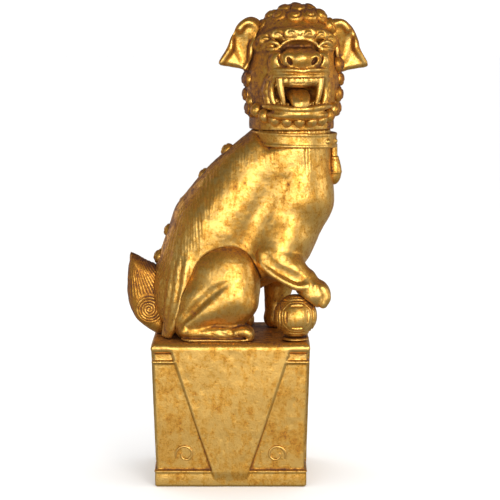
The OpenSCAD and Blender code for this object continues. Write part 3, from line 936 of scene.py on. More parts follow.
def open_mouth(clay):
    """The mouth between the fangs, ridges below its roof, and the stretched folds at its corners."""
    clay.carve(egg((0, -50, 302.5), (33, 25, 12.5)), 4)
    clay.carve(egg((0, -60, 301), (24, 33, 16.5)), 2)
    clay.carve(slab((-21, -92, 280), (21, -42, 317), 4), 2)
    for i in range(3):
        y = -60 + 9 * i
        clay.trace(both_ways([(0, y - 3, 314.5 - 1.6 * i, 2), (9, y - 2, 315 - 1.6 * i, 2),
                              (19, y + 3, 316 - 1.6 * i, 1.4)]), 1.5)
    for side in (-1, 1):
        clay.add(limb(mirrored([(35, -42, 320, 5), (37, -39, 305, 6), (35, -41, 289, 5)], side)), 6)
        corner = mirrored([(30, -56, 322, 3), (33, -50, 312, 3.6), (33, -49, 301, 3.6),
                           (30, -51, 290, 3)], side)
        clay.trace(corner, 3)
        for z, r in ((311, 1.4), (304, 2.4), (295, 2.2)):
            groove = mirrored([(37, -51, z + 1, 0.8), (42, -44, z - 3, r), (48, -35, z - 1, r),
                               (54, -22, z + 4, 0.8)], side)
            clay.groove(groove, 2.4)


def head_relief(points, normals):
    """Hair combed down the back of the head, and grain elsewhere."""
    back = step_between(points[:, 1], 0, 18)
    return 0.6 * grain(points) + 0.55 * back * combed(points, normals)


def build_head():
    """The head and everything that is set on it."""
    clay = head_core()
    core = copy.deepcopy(clay)
    add_brows(clay)
    add_muzzle(clay)
    add_eyes(clay)
    open_mouth(clay)
    jaw = jaw_clay()
    clay.cut_by(jaw)
    clay.keep(between_levels(NECK_JOINT + GAP))
    finish_clay("head_carved", ["head_shell"], clay, head_relief, True)
    finish_clay("lower_jaw_carved", ["lower_jaw"], jaw, grained(0.4), True)
    build_teeth(clay)
    build_tongue(jaw)
    build_ears(core)
    build_head_curls(core, clay, jaw)


def jaw_clay():
    """The lower jaw: a thin lip round a hollow floor, with a chin fold and low side teeth."""
    clay = Clay((-56, -80, 262), (56, -14, 312), 0.85)
    clay.add(egg((0, -42, 277), (38, 25, 9)))
    lip = [(0, -65.5, 284.6, 3.5), (12, -64, 285, 3.6), (26, -57, 286.8, 3.7), (35, -48, 287, 3.2),
           (41, -40, 287, 2)]
    clay.trace(both_ways(lip), 5, 6)
    clay.trace(both_ways([(0, -65.5, 278.4, 2.3), (14, -63, 279, 2.3), (28, -54, 281, 2)]), 1.6, 6)
    for side in (-1, 1):
        for i in range(4):
            spot = (side * (15 + 4.6 * i), -60.5 + 4.6 * i, 288.6 + 0.7 * i)
            clay.add(egg(spot, (2.3, 2.4, 3.9)), 0.7)
    clay.carve(egg((0, -44, 294), (17, 21, 9)), 2)
    return clay


def build_teeth(head):
    """The row of upper teeth, worn nearly into one band, and a long fang on each side."""
    clay = Clay((-40, -82, 284), (40, -34, 328), 0.7)
    for i in range(9):
        a = -1 + 2 * (i + 0.5) / 9
        x, y = 28 * a, -69.5 + 11.5 * a * a
        clay.add(egg((x, y, 319.5), (4.1, 3.6, 7.5), (0, 0, math.degrees(0.8 * a))), 2.4)
    clay.carve(slab((-40, -90, 300), (40, -30, 315.6), 0.5), 0.8)
    for side in (-1, 1):
        fang = [(side * 25, -60.5, 321, 4.6), (side * 24, -61.5, 311, 4.0), (side * 22, -62, 300, 3.2),
                (side * 20, -62, 291.5, 2.1)]
        clay.trace(fang, 1)
    clay.cut_by(head)
    finish_clay("teeth_carved", ["teeth"], clay, grained(0.18), True)


def build_tongue(jaw):
    """The tongue, lolling over the lower lip, with a shallow groove down its middle."""
    clay = Clay((-22, -80, 278), (22, -24, 314), 0.8)
    for x in (-6.5, 0, 6.5):
        back = 1.5 if x else 0
        clay.trace([(x, -34, 300, 6), (x, -46, 301, 6.6), (x, -57 + back, 298.5, 6.6),
                    (0.9 * x, -64 + back, 292.5, 5.6), (0.8 * x, -66 + back, 288.5, 4.4)], 3, 6)
    clay.groove([(0, -40, 310, 1), (0, -50, 310, 1.4), (0, -60, 306, 1.4), (0, -69, 297, 1)], 2, 6)
    clay.cut_by(jaw)
    finish_clay("tongue_carved", ["tongue"], clay, grained(0.2), True)


EAR_OUTLINE = [
    (42, 366), (44, 386), (52, 392.5), (61, 392), (71, 384), (79, 368), (84, 354), (93.5, 337), (80, 333),
    (68, 331), (60, 329), (55, 336), (49, 350)]


def build_ears(core):
    """Drooping ears: a leaf with a rolled front rim, a hollow face and an inner fold."""
    for side, name in ((-1, "right_ear"), (1, "left_ear")):
        clay = Clay((min(side * 34, side * 100), -34, 318), (max(side * 34, side * 100), 24, 400), 0.85)
        outline = curve([(side * x + (3.5 if z > 362 else 1.5), z - 1.3 * side) for x, z in EAR_OUTLINE], 4)
        clay.add(leaf(outline, 13, 6, -5))
        clay.add(egg((side * 52, -3, 379), (13, 12, 13.5)), 7)
        rim = mirrored([(44, -11, 378, 3.6), (52, -13, 387, 4.6), (62, -13.5, 386.5, 5),
                        (71.5, -13, 374, 4.8), (79, -12, 356, 4.2), (90, -10, 340, 2.2)], side)
        clay.trace(rim, 4, 6)
        lobe = mirrored([(47, -12, 371, 3.4), (52, -14, 360, 4), (56, -14, 346, 4),
                         (60, -11, 333, 2.6)], side)
        clay.trace(lobe, 4, 6)
        clay.carve(egg((side * 66, -16, 356), (7, 7, 24), (0, side * 17, 0)), 5)
        clay.cut_by(core)
        finish_clay(name + "_carved", [name], clay, grained(0.35), True)


# (degrees down from the top, curls, first bearing) for each row of the crown
CROWN_ROWS = [(0, 1, 0), (19, 5, 30), (38, 10, 12), (57, 14, 0)]


def settle(curls, *castings):
    """Keeps of the curls what stands out of the castings, and half a millimetre below their skin."""
    for casting in castings:
        curls.cut_by(casting, SINK)


def build_head_curls(core, head, jaw):
    """Rows of snail curls over the crown, down the back of the head, and under the jaw as a beard."""
    middle = np.array([4.0, 0, 356.5])
    crown = Clay((-62, -62, 362), (65, 62, 420), 0.95)
    count = 0
    for down, number, start in CROWN_ROWS:
        for i in range(number):
            bearing = math.radians(start + 360 * i / number)
            if down > 50 and math.cos(bearing) < -0.35:
                continue
            tilt = math.radians(down)
            level = math.sin(tilt)
            out = np.array([level * math.sin(bearing), level * math.cos(bearing), math.cos(tilt)])
            root = middle + (46.5 + 3.5 * max(out[0], 0)) * out
            crown.add(curl(root, out, 12.2, 10.3, 0.37 * count, 1 - 2 * (i % 2), 5.6, 1.3), 0.8)
            count += 1
    settle(crown, core, head)
    finish_clay("crown_curls_carved", ["crown_curls"], crown, grained(0.3), True)

    mane = Clay((-72, -32, 262), (72, 68, 372), 1.05)
    for row, z in enumerate((356, 337, 319, 301, 283)):
        for i in range(9):
            bearing = math.radians(-100 + 24 * (i + 0.5 * (row % 2)))
            if abs(bearing) > math.radians(108):
                continue
            out = np.array([math.sin(bearing), math.cos(bearing), 0.1])
            reach = {356: 47, 337: 49, 319: 49.5, 301: 48.5, 283: 46.5}[z]
            wide = 1 + 0.13 * abs(math.sin(bearing)) * (1 if z < 340 else 0)
            spot = np.array([reach * wide * out[0] + 1.2, 0.95 * reach * out[1], z])
            mane.add(curl(spot, out, 11.2, 9, 0.29 * (i + row), 1 - 2 * (i % 2), 5.2, 1.2), 0.8)
    settle(mane, core, head)
    finish_clay("mane_curls_carved", ["mane_curls"], mane, grained(0.3), True)

    beard = Clay((-68, -74, 256), (68, 20, 306), 0.85)
    for i in range(11):
        a = -85 + 17 * i
        bearing = math.radians(a)
        out = np.array([math.sin(bearing), -math.cos(bearing), -0.05])
        rise = 22 * abs(a / 85) ** 3
        spot = np.array([51 * out[0], 50 * out[1] - 4, 270.5 + rise])
        beard.add(egg(spot, (7.3, 7, 9.3), (0, 0, a)), 0)
        beard.add(curl(spot + 1.2 * out, out, 7.4, 7.2, 0.4 * i, 1 - 2 * (i % 2), 4.4, 0.7), 1.2)
    settle(beard, core, head)
    beard.cut_by(jaw)
    beard.keep(between_levels(NECK_JOINT + GAP))
    finish_clay("beard_curls_carved", ["beard_curls"], beard, grained(0.3), True)


build_body()
build_collar()
build_bell()
build_ball()
build_head()


# ---- the plinth, as a skin of rows round its four sides


def plinth_profile():
    """How far each row lies inside the top's edge, and its height, from the foot up."""
    height, taper, round_radius = PLINTH_HIGH[2], 4.0, 7.0
    moulding, panel_top = 21.0, height - 26
    rows = [(taper + 3, 0.0), (taper + 1.2, 0.4), (taper, 1.8)]
    rows += [(taper - 0.2 * math.sin(math.pi * t), 1.8 + t * (moulding - 5))
             for t in np.linspace(0.1, 1, 9)]
    rows += [(taper - 0.9, moulding - 1.6), (taper - 0.5, moulding - 0.4), (taper + 1.5, moulding + 0.5),
             (taper + 2.6, moulding + 0.9)]
    panel_low = moulding + 0.9
    rows += [(taper + 2.6 - t * (taper - 0.4), panel_low + t * (panel_top - panel_low))
             for t in np.linspace(0, 1, 84)[1:]]
    rows += [(1.0, panel_top + 1), (0.7, panel_top + 2.2), (1.1, panel_top + 3.6), (3.0, panel_top + 4.4)]
    rows += [(3.6, panel_top + 5.2 + t * (height - 2 * round_radius - panel_top - 5.2))
             for t in np.linspace(0, 1, 7)]
    for a in np.linspace(-80, 90, 18):
        t = math.radians(a)
        rows.append((round_radius * (1 - math.cos(t)), height - round_radius * (1 - math.sin(t))))
    return np.array(rows)


def drape_half_width(height, half):
    """The draped cloth's half width at a height, on a face of the given half length."""
    share_up = height / PLINTH_HIGH[2]
    return (16 + (77 - 16) * share_up) * half / HALF_LENGTH


def drape_inset(height):
    """How far the cloth's flat face lies inside the top's edge."""
    return -0.6 + 3.4 * (1 - height / PLINTH_HIGH[2])


def plinth_columns():
    """The points round one row, as (face, part of the face, share along that part, half length)."""
    side_columns, cloth_columns = ((34, 66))
    columns = []
    for face in range(4):
        half = HALF_LENGTH if face % 2 == 0 else HALF_DEPTH
        for part, number in enumerate((side_columns, cloth_columns, side_columns)):
            shares = np.linspace(0, 1, number + 1)[int(part > 0):]
            columns += [(face, part, s, half) for s in shares]
        columns += [(face, CORNER_PART, s, half) for s in (0.25, 0.5, 0.75)]
    return columns


def plinth_point(inset, height, face, part, s, half):
    """One point of the plinth's skin; the cloth's flat face stands a little out of the panel."""
    corner, soft_edge = 2.6, 0.9
    other = HALF_DEPTH if face % 2 == 0 else HALF_LENGTH
    end = half - inset - corner
    if part == CORNER_PART:
        turn = s * math.pi / 2
        x, y = end + corner * math.sin(turn), -(other - inset - corner) - corner * math.cos(turn)
    else:
        edge = drape_half_width(height, half)
        stops = (-end, -(edge + soft_edge), edge + soft_edge, end)
        x = stops[part] + s * (stops[part + 1] - stops[part])
        on_cloth = step_between(edge - abs(x), -soft_edge, soft_edge * 0.4)
        fade = step_between(height, 7, 20) * step_between(PLINTH_HIGH[2] - height, 3, 9)
        y = -(other - inset - on_cloth * fade * min(drape_inset(height) - inset, 0))
    return *((x, y), (-y, x), (-x, -y), (y, -x))[face], height


def build_plinth():
    """The plinth's skin, from the roof of its hollow down and out over its foot, up and over its top."""
    wall, roof_height = 15.0, PLINTH_HIGH[2] - 8
    columns = plinth_columns()
    count = len(columns)
    outer = [np.array([plinth_point(inset, height, *column) for column in columns])
             for inset, height in plinth_profile()]
    foot = outer[0][:, :2].max(0)
    inner = outer[0] * ((HALF_LENGTH - wall) / foot[0], (HALF_DEPTH - wall) / foot[1], 0)
    deck = [outer[-1] * (1 - s, 1 - s, 1) + (0, 0, -0.5 * math.sin(math.pi * min(1, 3 * s)) ** 2)
            for s in np.linspace(0, 1, 46)[1:-1]]
    stack = np.array([inner + (0, 0, roof_height), inner, *outer, *deck])
    vertices = np.concatenate([stack.reshape(-1, 3), [[0, 0, PLINTH_HIGH[2]], [0, 0, roof_height]]])
    ring = np.arange(count)
    after = (ring + 1) % count
    band = np.stack([ring, after, after + count, ring + count], 1)
    last = (len(stack) - 1) * count
    quads = np.concatenate([level * count + band for level in range(len(stack) - 1)])
    cap = np.stack([last + ring, last + after, np.full(count, len(vertices) - 2)], 1)
    roof = np.stack([after, ring, np.full(count, len(vertices) - 1)], 1)
    rough = 0.40 * noise(vertices, 38, 21) + 0.10 * noise(vertices * (1, 1, 0.5), 9, 22)
    rough = rough + 0.07 * noise(vertices * (1, 1, 0.4), 3, 23)
    dabs = np.maximum(noise(vertices * (1, 1, 0.3), 4.5, 24) - 0.4, 0) * -0.6
    outside = (np.arange(len(vertices)) >= 2 * count) & (vertices[:, 2] > 0.2)
    vertices = vertices + normals_of(vertices, quads) * ((rough + dabs) * outside)[:, None]
    skins.append(("plinth_carved", ["plinth_shell"], vertices, quads, np.concatenate([cap, roof])))
    build_scrolls()


def scroll_line(half, hand):
    """A scroll on one face as (along, height) points, from its outer end to its curled-in middle."""
    t = np.linspace(0, 1, 60)
    size = half / HALF_LENGTH
    angle = np.radians(205 - 400 * t)
    radius = size * (12.2 - 7.6 * t)
    across = hand * 0.575 * half - hand * radius * np.cos(angle)
    return np.stack([across, 41 + radius * np.sin(angle)], 1), t


def facing_in(vertices, ends, caps, section):
    """Whether the first end cap of a run faces back along the run."""
    every = np.concatenate([vertices, ends])
    a, b, c = every[caps[0]]
    along = vertices[section:2 * section].mean(0) - vertices[:section].mean(0)
    return np.cross(b - a, c - a) @ along > 0


def build_scrolls():
    """Raised spiral scrolls low on each face, one each side of the cloth's tip."""
    section = 12
    all_vertices, all_quads, all_caps = [], [], []
    first = 0
    for face in range(4):
        half = HALF_LENGTH if face % 2 == 0 else HALF_DEPTH
        other = HALF_DEPTH if face % 2 == 0 else HALF_LENGTH
        for hand in (-1, 1):
            line, t = scroll_line(half, hand)
            along = np.gradient(line, axis=0)
            along /= np.linalg.norm(along, axis=1, keepdims=True)
            across = np.stack([along[:, 1], -along[:, 0]], 1)
            wide = 1.9 * np.sqrt(np.sin(math.pi * np.clip(0.06 + 2.2 * t, 0, 0.5))) * (1 - 0.25 * t)
            inset = 6.6 - 3.6 * (line[:, 1] - 22) / (PLINTH_HIGH[2] - 48)
            rings = []
            for k in range(section):
                a = 2 * math.pi * k / section
                u, z = (line + across * (wide * math.cos(a))[:, None]).T
                y = -(other - inset + wide * np.where(math.sin(a) > 0, 0.95, 0.6) * math.sin(a) - 0.1)
                x, y = ((u, y), (-y, u), (-u, -y), (y, -u))[face]
                rings.append(np.stack([x, y, z], 1))
            vertices = np.stack(rings, 1).reshape(-1, 3)
            count = len(t)
            ends = np.stack([vertices[:section].mean(0), vertices[-section:].mean(0)])
            ring = np.arange(section)
            after = (ring + 1) % section
            band = np.stack([ring, after, after + section, ring + section], 1)
            quads = np.concatenate([k * section + band for k in range(count - 1)])
            last = (count - 1) * section
            caps = np.concatenate([np.stack([after, ring, np.full(section, count * section)], 1),
                                   np.stack([last + ring, last + after,
                                             np.full(section, count * section + 1)], 1)])
            if facing_in(vertices, ends, caps, section):
                quads, caps = quads[:, ::-1], caps[:, ::-1]
            all_vertices.append(np.concatenate([vertices, ends]))
            all_quads.append(quads + first)
            all_caps.append(caps + first)
            first += len(vertices) + 2
    skins.append(("plinth_scrolls", ["plinth_shell"],
                  *map(np.concatenate, (all_vertices, all_quads, all_caps))))


build_plinth()


# ---------------------------------------------------------------- hollows and edges, for the leaf's wear


def solidity_grid():
    """How solid the statue is around each point of a coarse grid: over one half in a hollow."""
    step = 3.0
    low = np.array([-150, -95, -20.0])
    count = np.array([100, 64, 216])
    lines = [low[i] + step * np.arange(count[i]) for i in range(3)]
    grid = np.stack(np.meshgrid(*lines, indexing="ij"), -1).reshape(-1, 3)
    solid = np.zeros(len(grid))
    in_plinth = np.abs(grid[:, 0]) < HALF_LENGTH - 7
    in_plinth &= (np.abs(grid[:, 1]) < HALF_DEPTH - 7) & (grid[:, 2] < DECK - 2)
    solid[in_plinth] = 1
    for clay, in_head in blocks:
        local = from_world(grid, in_head)
        high = clay.low + clay.step * (np.array(clay.d.shape) - 1)
        near = ((local > clay.low) & (local < high)).all(1)
        solid[near] = np.maximum(solid[near], np.clip(0.5 - clay.at(local[near]) / step, 0, 1))
    solid = solid.reshape(tuple(count))
    out = []
    for reach in (1, 3):
        blurred = solid
        for axis in (0, 1, 2) * 2:
            total = sum(np.roll(blurred, k, axis) for k in range(-reach, reach + 1))
            blurred = total / (2 * reach + 1)
        out.append(blurred)
    return low, step, out


def hollow_and_edge(vertices, quads, grid):
    """0 to 1 for how deep in a hollow each vertex lies, and 0 to 1 for how far it stands on an edge."""
    low, step, (tight, wide) = grid
    normals = normals_of(vertices, quads)
    bend = ((neighbour_mean(vertices, quads, len(vertices)) - vertices) * normals).sum(1)[:, None]
    for _ in range(2):
        bend = 0.5 * bend + 0.5 * neighbour_mean(bend, quads, len(vertices))
    size = np.sqrt(np.mean(np.sum((vertices[quads[:, 0]] - vertices[quads[:, 1]]) ** 2, axis=1)))
    fine = bend[:, 0] / size
    near = sample(tight, (vertices + 1.5 * normals - low) / step)
    broad = sample(wide, (vertices + 4 * normals - low) / step)
    hollow = np.clip(5.0 * fine + 1.6 * (near - 0.42) + 1.8 * (broad - 0.40), 0, 1)
    edge = np.clip(-5.0 * fine - 0.8 * (near - 0.30), 0, 1)
    return hollow, edge


# ---------------------------------------------------------------- materials


class Nodes:
    """Short hands for a material's node tree."""

    def __init__(self, name):
        self.material = bpy.data.materials.new(name)
        self.material.use_nodes = True
        self.tree = self.material.node_tree
        self.shader = self.tree.nodes["Principled BSDF"]
        self.place = self.new("ShaderNodeTexCoord").outputs["Object"]

    def new(self, kind, **values):
        """A new node with the given settings."""
        node = self.tree.nodes.new(kind)
        for key, value in values.items():
            setattr(node, key, value)
        return node

    def link(self, source, target):
        """Joins a socket or a plain value to a socket."""
        if isinstance(source, (int, float, tuple)):
            target.default_value = source
        else:
            self.tree.links.new(source, target)

    def noise(self, size_mm, detail=4.0, rough=0.55, stretch=(1, 1, 1), distortion=0.0):
        """A noise texture with lumps of about size_mm."""
        mapping = self.new("ShaderNodeMapping")
        mapping.inputs["Scale"].default_value = stretch
        self.link(self.place, mapping.inputs["Vector"])
        node = self.new("ShaderNodeTexNoise")
        node.inputs["Scale"].default_value = 1000.0 / size_mm
        node.inputs["Detail"].default_value = detail
        node.inputs["Roughness"].default_value = rough
        node.inputs["Distortion"].default_value = distortion
        self.link(mapping.outputs["Vector"], node.inputs["Vector"])
        return node.outputs["Fac"]

    def math(self, operation, a, b=0.0, c=0.0, clamp=False):
        """The result of one operation."""
        node = self.new("ShaderNodeMath", operation=operation, use_clamp=clamp)
        for value, socket in zip((a, b, c), node.inputs):
            self.link(value, socket)
        return node.outputs[0]

    def ramp(self, value, stops):
        """A colour ramp with stops of (position, colour)."""
        node = self.new("ShaderNodeValToRGB")
        ramp = node.color_ramp
        while len(ramp.elements) < len(stops):
            ramp.elements.new(0.5)
        for element, (at, colour) in zip(ramp.elements, stops):
            element.position = at
            element.color = (*colour, 1)
        self.link(value, node.inputs["Fac"])
        return node.outputs["Color"]

    def level(self, value, from_low, from_high, to_low, to_high):
        """Moves a value from one range to another, and keeps it inside the new one."""
        node = self.new("ShaderNodeMapRange")
        for key, number in zip(("From Min", "From Max", "To Min", "To Max"),
                               (from_low, from_high, to_low, to_high)):
            node.inputs[key].default_value = number
        self.link(value, node.inputs["Value"])
        return node.outputs["Result"]

    def attribute(self, name):
        """A value that is stored on the mesh."""
        return self.new("ShaderNodeAttribute", attribute_name=name).outputs["Fac"]

    def bump(self, height, distance_mm, strength=1.0, after=None):
        """A normal for relief of the given depth, over the relief before it."""
        node = self.new("ShaderNodeBump")
        node.inputs["Distance"].default_value = distance_mm * MM
        node.inputs["Strength"].default_value = strength
        self.link(height, node.inputs["Height"])
        if after is not None:
            self.link(after, node.inputs["Normal"])
        return node.outputs["Normal"]

    def set(self, **sockets):
        """Fills sockets of the shader, and gives the finished material."""
        for name, value in sockets.items():
            self.link(value, self.shader.inputs[name.replace("_", " ").title()])
        return self.material


def gilding(name, darken=0.0, tint=(1.0, 1.0, 1.0)):
    """Gold leaf over a red-brown ground, rubbed bright on its edges, with brown glaze in its hollows, and
    painted shade on surfaces that face up, on the back and on the cheeks.
    """
    n = Nodes(name)
    patches = n.noise(26, 5, 0.6)
    mottle = n.noise(8, 5, 0.62)
    streaks = n.noise(6, 4, 0.6, (1, 1, 0.32))
    flecks = n.noise(3.6, 4, 0.7)
    pits = n.noise(2.2, 3, 0.6)
    dust = n.noise(0.8, 2, 0.5)
    hollow = n.attribute("hollow")
    edge = n.attribute("edge")
    # painted shade: pushes the colour towards the dark stops where the surface faces up, faces the back or
    # lies on the cheeks
    painted_shade = n.attribute("painted_shade")
    # the hollow term is the gilding's patina; a darken above zero is painted shade for the shaded copy, and
    # below zero is rubbed wear
    glaze_and_shade = n.math("MULTIPLY_ADD", hollow, 0.66, darken)
    glaze_and_shade = n.math("MULTIPLY_ADD", painted_shade, 0.58, glaze_and_shade)
    layers = [(patches, 0.38, 0.66, -0.10, 0.18), (mottle, 0.35, 0.70, -0.12, 0.26),
              (streaks, 0.50, 0.74, 0.0, 0.30), (flecks, 0.50, 0.72, -0.04, 0.34),
              (pits, 0.52, 0.74, 0.0, 0.30), (dust, 0.30, 0.72, -0.05, 0.08)]
    for pattern, *limits in layers:
        glaze_and_shade = n.math("ADD", glaze_and_shade, n.level(pattern, *limits))
    glaze_and_shade = n.math("MULTIPLY_ADD", edge, -0.28, glaze_and_shade, clamp=True)
    shades = [(0.92, 0.565, 0.155), (0.79, 0.415, 0.07), (0.55, 0.24, 0.03), (0.25, 0.09, 0.013),
              (0.09, 0.03, 0.008)]
    shades = [tuple(c * t for c, t in zip(shade, tint)) for shade in shades]
    colour = n.ramp(glaze_and_shade, list(zip((0.0, 0.22, 0.45, 0.72, 1.0), shades)))
    metal = n.level(glaze_and_shade, 0.30, 0.95, 0.96, 0.35)
    rough = n.math("ADD", n.level(glaze_and_shade, 0.0, 1.0, 0.33, 0.62), n.level(dust, 0.3, 0.7, -0.05, 0.06))
    height = n.math("MULTIPLY_ADD", pits, -0.7, n.math("MULTIPLY", mottle, 0.35))
    normal = n.bump(height, 0.7, 0.5)
    normal = n.bump(dust, 0.22, 0.5, normal)
    n.shader.inputs["Coat Weight"].default_value = 0.08
    n.shader.inputs["Coat Roughness"].default_value = 0.34
    return n.set(base_color=colour, metallic=metal, roughness=rough, normal=normal)


def felt():
    """Dark pressed felt."""
    n = Nodes("pressed_felt")
    fibres = n.noise(1.2, 5, 0.7, (1, 2.2, 1), 1.5)
    cloud = n.noise(14, 3, 0.5)
    tone = n.math("ADD", n.math("MULTIPLY", fibres, 0.6), n.math("MULTIPLY", cloud, 0.4))
    colour = n.ramp(tone, [(0.3, (0.012, 0.016, 0.012)), (0.7, (0.055, 0.066, 0.05))])
    n.shader.inputs["Sheen Weight"].default_value = 0.5
    return n.set(base_color=colour, roughness=n.level(fibres, 0.3, 0.7, 0.85, 1.0),
                 normal=n.bump(fibres, 0.3, 0.8))


def timber():
    """Unfinished softwood."""
    n = Nodes("softwood")
    rings = n.noise(9, 3, 0.5, (0.12, 1, 1), 1.2)
    fibres = n.noise(1.4, 4, 0.7, (0.06, 1, 1))
    tone = n.math("ADD", n.math("MULTIPLY", rings, 0.7), n.math("MULTIPLY", fibres, 0.3))
    colour = n.ramp(tone, [(0.32, (0.36, 0.20, 0.09)), (0.5, (0.55, 0.36, 0.18)),
                           (0.68, (0.66, 0.47, 0.27))])
    return n.set(base_color=colour, roughness=n.level(fibres, 0.3, 0.7, 0.55, 0.8),
                 normal=n.bump(fibres, 0.25, 0.6))


def metal(name, bright, dark, rough_low, rough_high):
    """Brushed metal between two colours and two roughnesses."""
    n = Nodes(name)
    stain = n.noise(9, 4, 0.6)
    brushed = n.noise(0.7, 3, 0.6, (1, 1, 0.08))
    colour = n.ramp(stain, [(0.35, bright), (0.72, dark)])
    rough = n.math("ADD", n.level(stain, 0.35, 0.7, rough_low, rough_high),
                   n.level(brushed, 0.3, 0.7, -0.05, 0.05))
    n.shader.inputs["Metallic"].default_value = 1.0
    return n.set(base_color=colour, roughness=rough, normal=n.bump(brushed, 0.05, 0.5))


# ---------------------------------------------------------------- from skins to Blender pieces

GILT = gilding("antique_gilding")
# A darker, browner copy of the gilding: painted shade on the crown curls, the mane curls and the tail.
GILT_SHADED = gilding("antique_gilding_painted_shade", 0.2, (0.96, 0.90, 0.82))
GILT_RUBBED = gilding("antique_gilding_rubbed", -0.2)
LEAF_OF = {"tail_carved": GILT_SHADED, "crown_curls_carved": GILT_SHADED, "mane_curls_carved": GILT_SHADED,
           "tongue_carved": GILT_RUBBED, "teeth_carved": GILT_RUBBED}


def painted_shade_of(name, vertices, normals):
    """Painted shade: darker on surfaces that face up, on the back and on the cheeks, where less light
    falls.
    """
    # painted shade on surfaces facing up, surfaces facing the back, and the sides of the face
    up = step_between(normals[:, 2], 0.30, 0.92)
    back = step_between(-normals[:, 0], 0.35, 0.95) * (vertices[:, 2] > DECK)
    cheeks = 0
    if name in ("head_carved", "mane_curls_carved", "beard_curls_carved", "right_ear_carved",
                "left_ear_carved"):
        across = from_world(vertices, True)[:, 0]
        cheeks = step_between(np.abs(across), 30, 46) * step_between(np.abs(normals[:, 0]), 0.2, 0.7)
    return np.clip(0.95 * up + 0.8 * back + 0.7 * cheeks, 0, 1)


def make_piece(name, nodes, vertices, quads, triangles, grid):
    """Makes one queued skin into a mesh with its hollow and edge attributes and its painted shade
    attribute.
    """
    hollow, edge = hollow_and_edge(vertices, quads, grid)
    # painted shade: darker where the surface faces up, faces the back, or lies on the cheeks
    painted_shade = painted_shade_of(name, vertices, normals_of(vertices, quads))
    mesh = bpy.data.meshes.new(name)
    loops = np.concatenate([quads.ravel(), triangles.ravel()]).astype(np.int32)
    starts = np.concatenate([4 * np.arange(len(quads)),
                             4 * len(quads) + 3 * np.arange(len(triangles))]).astype(np.int32)
    mesh.vertices.add(len(vertices))
    mesh.vertices.foreach_set("co", (vertices * MM).astype(np.float32).ravel())
    mesh.loops.add(len(loops))
    mesh.loops.foreach_set("vertex_index", loops)
    mesh.polygons.add(len(starts))
    mesh.polygons.foreach_set("loop_start", starts)
    mesh.update(calc_edges=True)
    mesh.validate()
    mesh.polygons.foreach_set("use_smooth", np.ones(len(mesh.polygons), bool))
    for key, values in (("hollow", hollow), ("edge", edge), ("painted_shade", painted_shade)):
        mesh.attributes.new(key, "FLOAT", "POINT").data.foreach_set("value", values.astype(np.float32))
    mesh.materials.append(LEAF_OF.get(name, GILT))
    piece = bpy.data.objects.new(name, mesh)
    bpy.context.scene.collection.objects.link(piece)
    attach(piece, "root")
    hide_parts(*nodes)


def make_pieces():
    """Makes every queued skin into a piece."""
    grid = solidity_grid()
    for name, nodes, vertices, quads, *rest in skins:
        triangles = rest[0] if rest else np.zeros((0, 3), int)
        make_piece(name, nodes, vertices, quads, triangles, grid)


def dress_cad_nodes():
    """The hidden CAD pieces keep their shape and get their own materials."""
    steel = metal("zinc_plated_steel", (0.62, 0.62, 0.64), (0.40, 0.39, 0.38), 0.28, 0.5)
    brass = metal("turned_brass", (0.72, 0.52, 0.22), (0.45, 0.28, 0.10), 0.25, 0.45)
    wood, cloth = timber(), felt()
    nodes_of = {
        cloth: ("felt_sheet",),
        wood: ("base_board", "glue_blocks"),
        brass: ("threaded_inserts",),
        steel: ("board_screws", "figure_bolts", "bolt_washers", "ball_pin", "neck_dowel", "tail_dowel",
                "foreleg_dowels", "hind_leg_dowels", "ear_dowels")}
    for material, nodes in nodes_of.items():
        for node in nodes:
            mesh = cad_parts[node].data
            mesh.materials.clear()
            mesh.materials.append(material)


make_pieces()
dress_cad_nodes()


# ---------------------------------------------------------------- floor, lights and camera


def soft_light(name, location, target, size, watts, colour=(1, 1, 1)):
    """An area light that faces its target."""
    data = bpy.data.lights.new(name, "AREA")
    data.shape = "RECTANGLE"
    data.size, data.size_y = size
    data.energy = watts
    data.color = colour
    light = bpy.data.objects.new(name, data)
    light.location = location
    light.rotation_euler = (Vector(target) - Vector(location)).to_track_quat("-Z", "Y").to_euler()
    bpy.context.scene.collection.objects.link(light)


def build_stage():
    """The floor, the lights and the world."""
    mesh = bpy.data.meshes.new("floor")
    half = 30.0
    corners = [(-half, -half, 0), (half, -half, 0), (half, half, 0), (-half, half, 0)]
    mesh.from_pydata(corners, [], [(0, 1, 2, 3)])
    floor = bpy.data.objects.new("floor", mesh)
    bpy.context.scene.collection.objects.link(floor)
    material = bpy.data.materials.new("pale_floor")
    material.use_nodes = True
    shader = material.node_tree.nodes["Principled BSDF"]
    shader.inputs["Base Color"].default_value = (0.90, 0.90, 0.90, 1)
    shader.inputs["Roughness"].default_value = 0.7
    shader.inputs["Specular IOR Level"].default_value = 0
    mesh.materials.append(material)
    floor.visible_glossy = False

    middle = (0.0, 0.0, 0.33)
    soft_light("key", (1.0, -2.2, 0.95), middle, (0.9, 1.1), 24, (1.0, 0.95, 0.87))
    soft_light("front", (-0.4, -2.6, 0.45), (0, 0, 0.25), (1.9, 0.85), 17, (1.0, 0.95, 0.88))
    soft_light("right_side", (2.2, -0.3, 0.8), middle, (0.7, 1.3), 7, (1.0, 0.95, 0.88))
    soft_light("left_back", (-1.8, 1.4, 0.9), middle, (0.9, 1.2), 6)

    bpy.context.scene.world = studio_world()
    bpy.context.scene.view_settings.view_transform = "Standard"


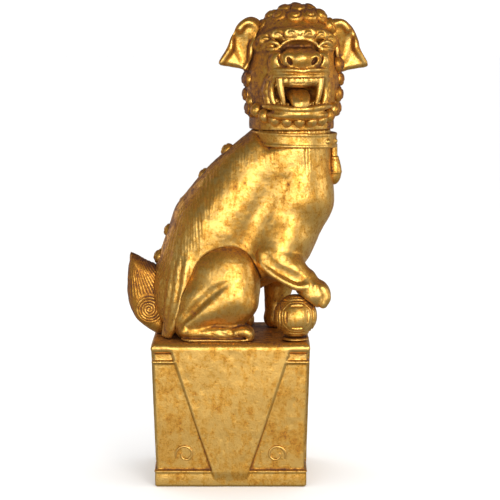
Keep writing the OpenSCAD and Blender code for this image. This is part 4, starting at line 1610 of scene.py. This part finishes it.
def studio_world():
    """White to look at and to light the floor by; dimmer, and darkest overhead, in reflections."""
    world = bpy.data.worlds.new("studio")
    world.use_nodes = True
    tree = world.node_tree
    background = tree.nodes["Background"]
    place = tree.nodes.new("ShaderNodeTexCoord")
    split = tree.nodes.new("ShaderNodeSeparateXYZ")
    height = tree.nodes.new("ShaderNodeMapRange")
    height.inputs["From Min"].default_value = -1
    ramp = tree.nodes.new("ShaderNodeValToRGB")
    stops = ((0.0, 0.14), (0.40, 0.34), (0.54, 0.30), (0.70, 0.10), (1.0, 0.05))
    while len(ramp.color_ramp.elements) < len(stops):
        ramp.color_ramp.elements.new(0.5)
    for element, (at, grey) in zip(ramp.color_ramp.elements, stops):
        element.position = at
        element.color = (grey, grey, grey, 1)
    path = tree.nodes.new("ShaderNodeLightPath")
    mix = tree.nodes.new("ShaderNodeMix")
    mix.data_type = "RGBA"
    next(i for i in mix.inputs if i.name == "A" and i.type == "RGBA").default_value = (1.12, 1.12, 1.12, 1)
    tree.links.new(place.outputs["Generated"], split.inputs["Vector"])
    tree.links.new(split.outputs["Z"], height.inputs["Value"])
    tree.links.new(height.outputs["Result"], ramp.inputs["Fac"])
    tree.links.new(path.outputs["Is Glossy Ray"], mix.inputs["Factor"])
    tree.links.new(ramp.outputs["Color"], next(i for i in mix.inputs if i.name == "B" and i.type == "RGBA"))
    tree.links.new(next(o for o in mix.outputs if o.type == "RGBA"), background.inputs["Color"])
    return world


def build_camera():
    """Looks along +Y from a little above, from two metres away."""
    distance, lift = 2.0, math.radians(8)
    pixel_mm, width_px = 1.26, 500              # what one of the picture's pixels spans at the statue
    target = Vector((0.024, 0, 0.287))
    data = bpy.data.cameras.new("camera")
    data.sensor_width = 36.0
    data.lens = data.sensor_width * distance / MM / pixel_mm / width_px
    camera = bpy.data.objects.new("camera", data)
    back = Vector((0, -math.cos(lift), math.sin(lift)))
    camera.location = target + distance * back
    camera.rotation_mode = "QUATERNION"
    camera.rotation_quaternion = (-back).to_track_quat("-Z", "Y")
    bpy.context.scene.collection.objects.link(camera)
    bpy.context.scene.camera = camera


build_stage()
build_camera()
